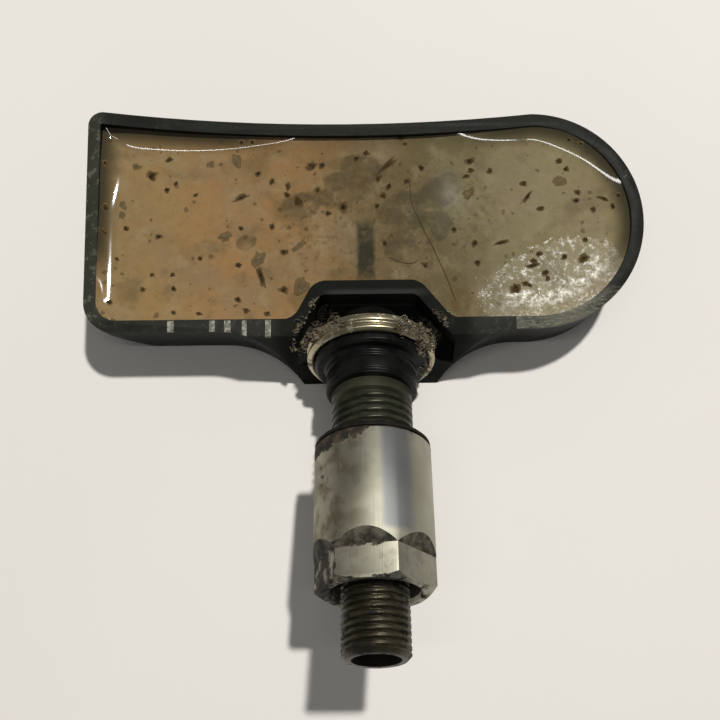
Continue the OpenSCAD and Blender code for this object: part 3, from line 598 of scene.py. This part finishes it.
def stem_finish():
    """Dark anodised stem with an olive band, a dark thread and a bronze-grey, dirty tip; painted shade
    darkens the bore mouth and the tail.
    """
    mat, tree, sockets = new_material("stem_finish", 0.36, 0.6, specular=0.2)
    place = stem_place(tree)
    x, y, t = axes(tree, place)
    across = math_node(tree, "SQRT", plus(tree, times(tree, x, x), times(tree, y, y)))
    tip = ramp(tree, t, 0.0285, 0.0310)
    cloud = noise(tree, place, 380, 5)
    dark = two_tone(tree, cloud, 0.35, 0.7, (0.028, 0.029, 0.020), (0.054, 0.056, 0.038))
    smooth = two_tone(tree, cloud, 0.35, 0.7, (0.054, 0.055, 0.036), (0.086, 0.088, 0.058))
    dark = two_tone(tree, t, 0.0088, 0.0082, dark, smooth)
    bronze = two_tone(tree, cloud, 0.35, 0.65, (0.024, 0.021, 0.013), (0.060, 0.053, 0.033))
    colour = blend_colours(tree, tip, dark, bronze)
    dirt = use(tree, DIRT, place, scale=800, amount=ramp(tree, tip, 0, 1, 0.26, 0.48))
    # painted shade: the bore mouth and the tail behind the seat are darkened as dirt
    dirt = larger(tree, dirt, ramp(tree, across, 0.00278, 0.00272))
    dirt = larger(tree, dirt, ramp(tree, t, 0.0008, -0.0002))
    colour = blend_colours(tree, dirt, colour, (0.008, 0.0065, 0.004))
    link(tree, colour, sockets["Base Color"])
    link(tree, times(tree, minus(tree, 1.0, dirt), 0.6), sockets["Metallic"])
    link(tree, plus(tree, times(tree, dirt, 0.35), 0.38), sockets["Roughness"])
    raise_surface(tree, sockets, plus(tree, dirt, use(tree, GRAIN, place, scale=3000)), 0.000015, 0.5)
    return mat


def moulded(name, dark, light, roughness, scale, grain, depth, coat=0.0, specular=0.5):
    mat, tree, sockets = new_material(name, roughness, coat=coat, specular=specular)
    place = object_place(tree)
    cloud = noise(tree, place, scale, 6)
    link(tree, two_tone(tree, cloud, 0.35, 0.68, dark, light), sockets["Base Color"])
    link(tree, ramp(tree, cloud, 0.3, 0.7, roughness - 0.06, roughness + 0.08), sockets["Roughness"])
    raise_surface(tree, sockets, use(tree, GRAIN, place, scale=grain), depth, 0.5)
    return mat


def crumb_dirt():
    mat, tree, sockets = new_material("crumb_dirt", 0.85, specular=0.2)
    place = object_place(tree)
    tones = noise(tree, place, 1100, 5, 0.7)
    colour = add(tree, "ShaderNodeValToRGB")
    link(tree, tones, colour.inputs[0])
    stops = colour.color_ramp.elements
    stops[0].position, stops[0].color = 0.34, (0.026, 0.022, 0.015, 1)
    stops[1].position, stops[1].color = 0.66, (0.30, 0.26, 0.18, 1)
    stops.new(0.50).color = (0.105, 0.088, 0.060, 1)
    link(tree, colour.outputs[0], sockets["Base Color"])
    raise_surface(tree, sockets, noise(tree, place, 4000, 4), 0.0001, 0.6)
    return mat


def speck_dirt(name, dark, light):
    """Dust sunk in the resin: it fades into the resin's own colour at its edge."""
    mat, tree, sockets = new_material(name, 0.5, specular=0.0)
    place = object_place(tree)
    tones = noise(tree, place, 1600, 4, 0.6)
    core = add(tree, "ShaderNodeAttribute", attribute_name="core").outputs["Fac"]
    core = plus(tree, core, times(tree, minus(tree, tones, 0.5), 0.7))
    colour = two_tone(tree, tones, 0.35, 0.65, dark, light)
    resin = use(tree, RESIN_TINT, place)
    edge = blend_colours(tree, ramp(tree, tones, 0.3, 0.7, 0.48, 0.66), resin, (0.050, 0.035, 0.016))
    link(tree, two_tone(tree, core, 0.06, 0.84, edge, colour), sockets["Base Color"])
    raise_surface(tree, sockets, noise(tree, place, 5000, 3), 0.00003, 0.4)
    return mat


# shaping

def lathe(profile, steps=144):
    """Turns a closed outline of (radius, distance along the stem) points into a ring."""
    bm = bmesh.new()
    points = [bm.verts.new((r, 0, t)) for r, t in profile]
    rim = [bm.edges.new((points[i - 1], points[i])) for i in range(len(points))]
    bmesh.ops.spin(
        bm, geom=points + rim, cent=(0, 0, 0), axis=(0, 0, 1), angle=2 * math.pi, steps=steps, use_merge=True)
    bmesh.ops.remove_doubles(bm, verts=bm.verts, dist=0.0005)
    bmesh.ops.recalc_face_normals(bm, faces=bm.faces)
    return bm


def round_edges(bm, width, segments=2, sharper=30, where=None):
    angle = math.radians(sharper)
    edges = [
        e for e in bm.edges
        if len(e.link_faces) == 2 and e.calc_face_angle(0) > angle and (where is None or where(e))]
    bmesh.ops.bevel(
        bm, geom=edges, offset=width, segments=segments, profile=0.5, affect="EDGES", material=-1,
        clamp_overlap=True)


def keep(bm, name, material, body, stands_for=(), smooth=35):
    """Makes a bmesh in millimetres a piece of the scene, on its body and in its slot."""
    bmesh.ops.scale(bm, vec=(MM, MM, MM), verts=bm.verts)
    mesh = bpy.data.meshes.new(name)
    bm.to_mesh(mesh)
    bm.free()
    mesh.materials.append(material)
    mesh.shade_smooth()
    mesh.set_sharp_from_angle(angle=math.radians(smooth))
    piece = bpy.data.objects.new(name, mesh)
    bpy.context.scene.collection.objects.link(piece)
    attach(piece, body)
    if stands_for:
        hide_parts(*stands_for)
    return piece


def cad_copy(node):
    """The node's mesh as a bmesh in millimetres, its loose triangles joined and its flat faces made whole."""
    bm = bmesh.new()
    bm.from_mesh(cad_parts[node].data)
    bmesh.ops.scale(bm, vec=(1000, 1000, 1000), verts=bm.verts)
    bmesh.ops.remove_doubles(bm, verts=bm.verts, dist=0.002)
    bmesh.ops.dissolve_limit(bm, angle_limit=math.radians(0.4), verts=bm.verts, edges=bm.edges)
    return bm


def cut_thread(bm, radius, depth, pitch, start, end, fade):
    """Presses a right-handed helical groove into the rings between start and end."""
    for v in bm.verts:
        r = math.hypot(v.co.x, v.co.y)
        if r < radius - 0.02 or not start <= v.co.z <= end:
            continue
        turn = (v.co.z / pitch - math.atan2(v.co.y, v.co.x) / (2 * math.pi)) % 1
        flank = min(1.0, max(0.0, (abs(turn - 0.5) - 0.07) / 0.20))
        ease = min(1.0, (v.co.z - start) / fade, (end - v.co.z) / fade)
        cut = (1 - flank) * depth * ease / r
        v.co.x *= 1 - cut
        v.co.y *= 1 - cut


def steps_between(start, end, step):
    count = max(1, round((end - start) / step))
    return [start + (end - start) * i / count for i in range(count + 1)]


# pieces

def make_stem(material, tail):
    air_r, core_r, tail_neck_r, tip_neck_r = 1.25, 2.6, 3.2, 3.3
    thread_start, thread_end = 9.2, 27.7
    cap_start, cap_end = 30.7, STEM_LEN - 0.45
    profile = [
        (air_r, -4.1), (3.6, -4.1), (BORE_R, -3.8), (BORE_R, -1.4), (tail_neck_r, -1.4), (tail_neck_r, 0),
        (BORE_R, 0), (BORE_R, 6.9), (4.8, 6.9), (THREAD_R, 7.05), (THREAD_R, 8.3), (4.5, 8.6), (4.5, 8.9)]
    profile += [(THREAD_R, t) for t in steps_between(thread_start, thread_end, 0.1)]
    profile += [(4.35, 28.3), (tip_neck_r, 28.8), (tip_neck_r, 30.2)]
    profile += [(CAP_R, t) for t in steps_between(cap_start, cap_end, 0.08)]
    profile += [
        (3.4, STEM_LEN), (2.74, STEM_LEN), (2.74, STEM_LEN - 0.6), (core_r, STEM_LEN - 0.9), (core_r, 33.0),
        (2.15, 31.2), (2.15, 22.3), (air_r, 21.3)]
    bm = lathe(profile, 120)
    cut_thread(bm, THREAD_R, 0.45, 1.0, thread_start, thread_end, 0.35)
    cut_thread(bm, CAP_R, 0.40, 0.794, cap_start, cap_end, 0.5)
    bmesh.ops.transform(bm, matrix=ON_STEM, verts=bm.verts)
    piece = keep(bm, "threaded_stem", material, "sensor", ["valve_stem"], 50)
    piece.data.materials.append(tail)
    # the tail's faces take a near-black finish that is painted shade behind the ring
    for face in piece.data.polygons:
        if distance_out(face.center) < TAIL_END:
            face.material_index = 1
    return piece


def distance_out(place):
    """How far along the stem, in millimetres, a place given in metres lies."""
    return (place / MM - SEAT).dot(ALONG)


def make_ring(material):
    profile = [
        (BORE_R, 0), (8.0, 0), (8.15, 0.15), (8.15, 0.85), (7.87, 1.05), (7.87, 1.4), (8.1, 1.6), (8.1, 1.95),
        (7.75, 2.3), (7.4, 2.3), (7.15, 2.05), (7.15, 1.1), (BORE_R, 1.1)]
    bm = lathe(profile, 160)
    round_edges(bm, 0.09, 3, 25)
    bmesh.ops.transform(bm, matrix=ON_STEM, verts=bm.verts)
    return keep(bm, "stepped_ring", material, "sensor", ["seat_ring"])


def make_grommet(material):
    side, groove = 5.65, 5.5
    profile = [
        (BORE_R, 1.1), (7.1, 1.1), (7.1, 2.95), (6.75, 3.3), (5.95, 3.3), (side, 3.6), (side, 4.05),
        (groove, 4.2), (groove, 4.4), (side, 4.55), (side, 6.05), (groove, 6.2), (groove, 6.35), (side, 6.5),
        (side, 6.8), (5.35, 6.9), (BORE_R, 6.9)]
    bm = lathe(profile, 144)
    round_edges(bm, 0.12, 3, 20)
    bmesh.ops.transform(bm, matrix=ON_STEM, verts=bm.verts)
    return keep(bm, "rubber_grommet", material, "sensor", ["grommet"], 50)


def make_housing(material):
    bm = cad_copy("housing")
    round_edges(bm, 0.16, 2, 40, lambda e: all(v.co.z > 0.5 for v in e.verts) and e.calc_length() > 0.05)
    return keep(bm, "tray_shell", material, "sensor", ["housing"], 30)


def make_nut(material, grime):
    bm = cad_copy("clamp_nut")
    round_edges(bm, 0.09, 2, 14)
    for v in bm.verts:
        if distance_out(v.co * MM) < NUT_REAR + 0.005:
            v.co += ALONG * WASHER_ROOM
    piece = keep(bm, "sleeve_nut", material, "nut", ["clamp_nut"], 30)
    piece.data.materials.append(grime)
    for face in piece.data.polygons:
        t = distance_out(face.center)
        if RUNOUTS_FROM < t < RUNOUTS_TO and 0.2 < face.normal.dot(ALONG) < 0.8:
            face.material_index = 1
    return piece


def make_resin(material):
    """The fill's top as a fine net that climbs the walls and dips in the middle, on a plain block."""
    bm = cad_copy("potting")
    top = [f for f in bm.faces if f.normal.z > 0.99 and f.calc_center_median().z > 10.0]
    bmesh.ops.delete(bm, geom=[f for f in bm.faces if f not in top], context="FACES")
    bmesh.ops.delete(bm, geom=[v for v in bm.verts if not v.link_faces], context="VERTS")
    bmesh.ops.dissolve_faces(bm, faces=bm.faces[:])
    edge = bm.copy()
    rim = [e for e in edge.edges if len(e.link_faces) == 1]
    raised = bmesh.ops.extrude_edge_only(edge, edges=rim)["geom"]
    bmesh.ops.translate(edge, verts=[v for v in raised if isinstance(v, bmesh.types.BMVert)], vec=(0, 0, 1))
    bmesh.ops.delete(edge, geom=[f for f in edge.faces if abs(f.normal.z) > 0.9], context="FACES")
    walls = BVHTree.FromBMesh(edge)
    edge.free()
    low = [min(v.co[i] for v in bm.verts) for i in range(2)]
    high = [max(v.co[i] for v in bm.verts) for i in range(2)]
    for i, normal in ((0, (1, 0, 0)), (1, (0, 1, 0))):
        for k in range(1, int((high[i] - low[i]) / NET_STEP)):
            spot = Vector((0, 0, 0))
            spot[i] = low[i] + k * NET_STEP
            everything = bm.verts[:] + bm.edges[:] + bm.faces[:]
            bmesh.ops.bisect_plane(bm, geom=everything, dist=0.0001, plane_co=spot, plane_no=normal)
    shore = bm.verts.layers.float.new("shore")
    for v in bm.verts:
        far = walls.find_nearest(Vector((v.co.x, v.co.y, 10.5)))[3]
        v.co.z = resin_level(v.co.x, v.co.y, far)
        v[shore] = far * MM
    rim = [e for e in bm.edges if len(e.link_faces) == 1]
    side = bmesh.ops.extrude_edge_only(bm, edges=rim)["geom"]
    for v in side:
        if isinstance(v, bmesh.types.BMVert):
            v.co.z = 6.0
    bmesh.ops.holes_fill(bm, edges=[e for e in bm.edges if len(e.link_faces) == 1])
    bmesh.ops.recalc_face_normals(bm, faces=bm.faces)
    return keep(bm, "resin_fill", material, "sensor", ["potting"], 60)


def eased(value):
    value = min(1.0, max(0.0, value))
    return value * value * (3 - 2 * value)


def resin_level(x, y, far):
    """Height of the hardened resin at a place that lies far from the nearest wall."""
    left, right = eased((-8 - x) / 20), eased((x - 7) / 8)
    climbs = max(eased((-7 - x) / 12), eased((x - 10.5) / 10))
    behind = eased((y - 12) / 8)
    pocket = eased((13 - abs(x - 0.5)) / 3) * eased((13 - y) / 3)
    wave = 0.022 * ripple.noise(Vector((x / 7, y / 7, 0.3)))
    wave += 0.003 * ripple.noise(Vector((x / 1.8, y / 1.8, 2.1)))
    corner, bend = left * eased((y - 18) / 6), eased((x - 20) / 6) * behind
    rise = 0.05 + 0.25 * climbs + 0.34 * left + 0.12 * right + 0.38 * corner + 0.22 * bend
    reach = 1.0 + 2.3 * left + 2.4 * right * (1 - 0.4 * behind) + 0.8 * corner + 0.9 * bend
    steep = rise * (1 - 0.75 * pocket) * max(0.0, 1 - far / reach) ** 2
    broad = (0.10 + 0.06 * left + 0.22 * right * (1 - 0.7 * behind)) * (1 - 0.8 * pocket)
    broad *= max(0.0, 1 - far / (4 + 5 * right)) ** 2
    sag = 0.07 * (y - 12) * left + (0.25 - 0.0012 * (y - 11) ** 2) * right
    shrunk = 0.3 * math.exp(-((x + 34) ** 2 + (y - 28.6) ** 2) / 4)
    return min(RESIN_TOP_Z, RESIN_MID_Z + wave * min(1.0, far) + steep + broad - sag - shrunk)


def below(ground, place):
    """Where the ground lies under a place in the photograph, and which way it faces."""
    spot = seen(*place, RESIN_SEEN_Z)
    return ground.ray_cast(Vector((spot.x, spot.y, 40)), Vector((0, 0, -1)))[:2]


def make_specks(name, material, ground, spots, seed):
    """Flat dust specks on the resin, at the spots where the photograph shows them."""
    rng = random.Random(seed)
    bm = bmesh.new()
    core = bm.verts.layers.float.new("core")
    for px, py, long, wide, turn in spots:
        hit, normal = below(ground, (px, py))
        if hit is None:
            continue
        made = bmesh.ops.create_icosphere(bm, subdivisions=2, radius=0.5)["verts"]
        for v in made:
            v[core] = 1 - (v.co.x ** 2 + v.co.y ** 2) / 0.25
            v.co *= 1 + 0.9 * ripple.noise(v.co * 2.6 + Vector((px, py, 0)) * 0.37)
        shape = Matrix.Diagonal((1.6 * long * PIXEL, 1.6 * wide * PIXEL, 0.05 + 0.03 * rng.random(), 1))
        lean = normal.to_track_quat("Z", "Y").to_matrix().to_4x4()
        spin = Matrix.Rotation(math.radians(turn), 4, "Z")
        bmesh.ops.transform(bm, matrix=Matrix.Translation(hit) @ lean @ spin @ shape, verts=made)
    bmesh.ops.recalc_face_normals(bm, faces=bm.faces)
    return keep(bm, name, material, "sensor", (), 60)


def surface_under(pieces):
    """A search tree over pieces, in millimetres, to set crumbs on."""
    bm = bmesh.new()
    for piece in pieces:
        bm.from_mesh(piece.data)
    bmesh.ops.scale(bm, vec=(1000, 1000, 1000), verts=bm.verts)
    tree = BVHTree.FromBMesh(bm)
    bm.free()
    return tree


def lint(bm, rng):
    """A curled fibre with three sides: its vertices, how it lies and the radius of its curl."""
    bend = rng.uniform(0.12, 0.45)
    made = bmesh.ops.create_circle(bm, segments=3, radius=rng.uniform(0.035, 0.07))["verts"]
    bmesh.ops.rotate(bm, verts=made, matrix=Matrix.Rotation(math.pi / 2, 3, "X"))
    bmesh.ops.translate(bm, verts=made, vec=(bend, 0, 0))
    rim = list({e for v in made for e in v.link_edges})
    curl = rng.uniform(1.4, 4.2)
    turned = bmesh.ops.spin(bm, geom=made + rim, axis=(0, 0, 1), angle=curl, steps=6)
    last = [e for e in turned["geom_last"] if isinstance(e, bmesh.types.BMEdge)]
    bmesh.ops.holes_fill(bm, edges=rim + last)
    made = list({v for e in rim for v in walk(e.verts[0])})
    lean = Matrix.Rotation(rng.uniform(-0.9, 0.9), 4, "X")
    return made, lean @ Matrix.Rotation(rng.uniform(0, 6.28), 4, "Z"), bend


def crumb(bm, rng, size):
    """An angular crumb: its vertices and how it lies."""
    made = bmesh.ops.create_icosphere(bm, subdivisions=1, radius=size)["verts"]
    for v in made:
        v.co *= rng.uniform(0.65, 1.25)
    angle = rng.uniform(0, 6.28)
    about = Vector((rng.random() + 0.1, rng.random(), rng.random())).normalized()
    stretch = (rng.uniform(0.5, 1.6), rng.uniform(0.5, 1.1), rng.uniform(0.4, 0.9), 1)
    return made, Matrix.Rotation(angle, 4, about) @ Matrix.Diagonal(stretch)


def make_crumbs(name, material, ground, clumps, seed):
    """Crumbs and lint, heaped where the photograph shows them."""
    rng = random.Random(seed)
    bm = bmesh.new()
    for x, y, spread, count, largest in clumps:
        for _ in range(count):
            a, d = rng.uniform(0, 2 * math.pi), spread * rng.random() ** 0.7
            aim = seen(x + d * math.cos(a), y + d * math.sin(a), 0) - CAMERA_AT
            hit, normal, _, _ = ground.ray_cast(CAMERA_AT, aim.normalized())
            if hit is None or hit.z < 1.0 or normal.z < 0.15:
                continue
            size = rng.uniform(0.3, 1.0) * largest
            heap = (1 - d / spread) * rng.uniform(0.0, 2.2 * largest)
            if rng.random() < LINT_SHARE:
                made, shape, bend = lint(bm, rng)
                spot = hit + normal * (0.12 + heap) + Vector((0, 0, 0.25 * bend))
            else:
                made, shape = crumb(bm, rng, size)
                spot = hit + normal * (size * 0.25 + heap)
            bmesh.ops.transform(bm, matrix=Matrix.Translation(spot) @ shape, verts=made)
    bmesh.ops.recalc_face_normals(bm, faces=bm.faces)
    return keep(bm, name, material, "sensor", (), 20)


def walk(vert):
    """All the vertices joined to one vertex."""
    found, todo = {vert}, [vert]
    while todo:
        here = todo.pop()
        for edge in here.link_edges:
            other = edge.other_vert(here)
            if other not in found:
                found.add(other)
                todo.append(other)
    return found


def make_fibres(name, material, ground, runs, radius):
    """Hairs that lie on the resin along runs of photograph pixels."""
    bm = bmesh.new()
    for run in runs:
        places = [below(ground, place)[0] + Vector((0, 0, radius)) for place in run]
        along = (places[-1] - places[0]).normalized()
        ring = bmesh.ops.create_circle(bm, segments=6, radius=radius)["verts"]
        turn = Matrix.Translation(places[0]) @ along.to_track_quat("Z", "Y").to_matrix().to_4x4()
        bmesh.ops.transform(bm, matrix=turn, verts=ring)
        rim = list({e for v in ring for e in v.link_edges})
        for here, there in zip(places, places[1:]):
            made = bmesh.ops.extrude_edge_only(bm, edges=rim)["geom"]
            ring = [v for v in made if isinstance(v, bmesh.types.BMVert)]
            rim = [
                e for e in made
                if isinstance(e, bmesh.types.BMEdge) and e.verts[0] in ring and e.verts[1] in ring]
            bmesh.ops.translate(bm, verts=ring, vec=there - here)
    bmesh.ops.holes_fill(bm, edges=[e for e in bm.edges if len(e.link_faces) == 1])
    bmesh.ops.recalc_face_normals(bm, faces=bm.faces)
    return keep(bm, name, material, "sensor", (), 60)


# the object

plastic = housing_plastic()
resin = potting_resin()
ring_metal = dirty_metal(
    "ring_nickel", (0.50, 0.46, 0.33), (0.38, 0.33, 0.21), (0.055, 0.036, 0.018), 0.3, 700, 0.42)
rubber = moulded(
    "grommet_rubber", (0.003, 0.0035, 0.0030), (0.008, 0.009, 0.008), 0.36, 500, 2200, 0.00003, specular=0.12)

tray = make_housing(plastic)
fill = make_resin(resin)
ring = make_ring(ring_metal)
grommet = make_grommet(rubber)
# a near-black finish for the stem's tail, painted shade behind the ring
stem_tail = moulded(
    "stem_tail_painted_shade", (0.004, 0.004, 0.003), (0.009, 0.009, 0.007), 0.6, 500, 2200, 0.00002, specular=0.05)
make_stem(stem_finish(), stem_tail)
make_nut(nut_plating(), runout_grime())

fill_top = surface_under([fill])
dark_dust = speck_dirt("speck_dark", (0.017, 0.011, 0.005), (0.060, 0.038, 0.017))
make_specks("specks_dark", dark_dust, fill_top, DARK_SPECKS, 5)
faint_dust = speck_dirt("speck_faint", (0.080, 0.060, 0.031), (0.140, 0.105, 0.055))
make_specks("specks_faint", faint_dust, fill_top, FAINT_SPECKS, 6)

crumbs = crumb_dirt()
ground = surface_under([tray, ring, grommet])
make_crumbs("crumbs_left", crumbs, ground, CRUMBS_LEFT, 3)
make_crumbs("crumbs_right", crumbs, ground, CRUMBS_RIGHT, 8)
hair_brown = speck_dirt("hair_brown", (0.040, 0.026, 0.012), (0.075, 0.052, 0.024))
make_fibres("fine_hairs", hair_brown, fill_top, (HAIR, CURL), 0.05)

CHIP_BLACK = ((0.012, 0.012, 0.013), (0.03, 0.03, 0.03))
TAB_NICKEL = ((0.62, 0.6, 0.55), (0.5, 0.48, 0.43), (0.2, 0.17, 0.12))
CAD_FINISHES = {
    "thrust_washer": moulded(
        "washer_blackened", (0.005, 0.0048, 0.004), (0.016, 0.013, 0.009), 0.6, 700, 2600, 0.00002,
        specular=0.12),
    # the valve core's heavy dirt partly stands in for painted shade deep in the bore
    "core_body": dirty_metal(
        "core_brass", (0.30, 0.22, 0.10), (0.20, 0.15, 0.07), (0.02, 0.014, 0.008), 0.45, 900, 0.6),
    "core_pin": dirty_metal(
        "pin_brass", (0.32, 0.25, 0.13), (0.22, 0.17, 0.09), (0.02, 0.014, 0.008), 0.45, 900, 0.55),
    "core_spring": dirty_metal(
        "spring_wire", (0.6, 0.6, 0.58), (0.5, 0.5, 0.48), (0.1, 0.08, 0.05), 0.28, 900, 0.2),
    "core_barrel_seal": moulded("seal_white", (0.62, 0.6, 0.53), (0.78, 0.76, 0.7), 0.4, 600, 2000, 0.00002),
    "core_cup_seal": moulded(
        "seal_black", (0.012, 0.012, 0.012), (0.03, 0.03, 0.03), 0.5, 600, 2000, 0.00002),
    "circuit_board": moulded(
        "board_laminate", (0.015, 0.075, 0.03), (0.03, 0.12, 0.05), 0.35, 300, 1800, 0.00002, 0.3),
    "battery_cell": dirty_metal(
        "cell_steel", (0.6, 0.6, 0.58), (0.5, 0.5, 0.48), (0.2, 0.18, 0.15), 0.3, 300, 0.2),
    "battery_tab_top": dirty_metal("tab_top_nickel", *TAB_NICKEL, 0.3, 500, 0.2),
    "battery_tab_bottom": dirty_metal("tab_bottom_nickel", *TAB_NICKEL, 0.3, 500, 0.2),
    "pressure_sensor_chip": moulded("pressure_chip_package", *CHIP_BLACK, 0.5, 700, 2600, 0.00003),
    "transmitter_chip": moulded("radio_chip_package", *CHIP_BLACK, 0.5, 700, 2600, 0.00003),
    "port_gasket": moulded("gasket_rubber", (0.2, 0.05, 0.03), (0.3, 0.08, 0.05), 0.55, 500, 2000, 0.00003),
    "crystal_can": dirty_metal(
        "crystal_steel", (0.62, 0.62, 0.6), (0.52, 0.52, 0.5), (0.2, 0.18, 0.15), 0.25, 500, 0.15),
    "coil_core": moulded("coil_ferrite", (0.03, 0.03, 0.033), (0.055, 0.055, 0.06), 0.6, 700, 2400, 0.00003),
    "coil_winding": dirty_metal(
        "winding_copper", (0.55, 0.2, 0.07), (0.42, 0.14, 0.05), (0.12, 0.05, 0.02), 0.3, 900, 0.2),
    "antenna_contact": dirty_metal(
        "contact_brass", (0.6, 0.46, 0.22), (0.48, 0.36, 0.17), (0.06, 0.05, 0.03), 0.32, 500, 0.3),
    "capacitors": moulded(
        "capacitor_ceramic", (0.32, 0.24, 0.15), (0.46, 0.36, 0.24), 0.5, 900, 2600, 0.00002),
    "resistors": moulded("resistor_ceramic", (0.02, 0.02, 0.02), (0.05, 0.05, 0.05), 0.5, 900, 2600, 0.00002),
}
for name, finish in CAD_FINISHES.items():
    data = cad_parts[name].data
    if not data.materials:
        data.materials.append(finish)
    for i in range(len(data.materials)):
        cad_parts[name].material_slots[i].material = finish


# the stage

def floor_paper():
    mat, tree, sockets = new_material("floor_paper", 0.9, specular=0.2)
    place = object_place(tree)
    cloud = noise(tree, place, 9, 3)
    colour = two_tone(tree, cloud, 0.3, 0.7, (0.745, 0.722, 0.685), (0.775, 0.752, 0.715))
    link(tree, colour, sockets["Base Color"])
    return mat


def make_stage():
    bm = bmesh.new()
    bmesh.ops.create_grid(bm, x_segments=1, y_segments=1, size=1.5)
    bmesh.ops.translate(bm, verts=bm.verts, vec=(0, 0, -0.00005))
    mesh = bpy.data.meshes.new("floor")
    bm.to_mesh(mesh)
    bm.free()
    mesh.materials.append(floor_paper())
    floor = bpy.data.objects.new("floor", mesh)
    bpy.context.scene.collection.objects.link(floor)


def lamp(name, toward, distance, size, power, colour):
    data = bpy.data.lights.new(name, "AREA")
    data.shape = "RECTANGLE"
    data.size, data.size_y = size
    data.energy = power
    data.color = colour
    item = bpy.data.objects.new(name, data)
    item.location = Vector(toward).normalized() * distance
    item.rotation_euler = (-item.location).to_track_quat("-Z", "Y").to_euler()
    bpy.context.scene.collection.objects.link(item)


def make_camera():
    data = bpy.data.cameras.new("camera")
    data.lens = LENS
    data.sensor_width = SENSOR
    data.clip_start, data.clip_end = 0.01, 10
    item = bpy.data.objects.new("camera", data)
    item.matrix_world = Matrix.Translation(CAMERA_AT * MM) @ CAMERA_TURN
    bpy.context.scene.collection.objects.link(item)
    bpy.context.scene.camera = item


make_stage()
make_camera()
lamp("key", (0.21, 0.385, 1.0), 0.9, (0.035, 0.035), 7.5, (1.0, 0.98, 0.95))
lamp("overhead", (-0.115, 0.0, 1.0), 0.8, (0.020, 0.52), 0.62, (1.0, 1.0, 1.0))
world = bpy.data.worlds.new("room")
world.use_nodes = True
world.node_tree.nodes["Background"].inputs[0].default_value = (1.0, 0.985, 0.96, 1)
world.node_tree.nodes["Background"].inputs[1].default_value = 0.11
bpy.context.scene.world = world
bpy.context.scene.view_settings.view_transform = "Standard"
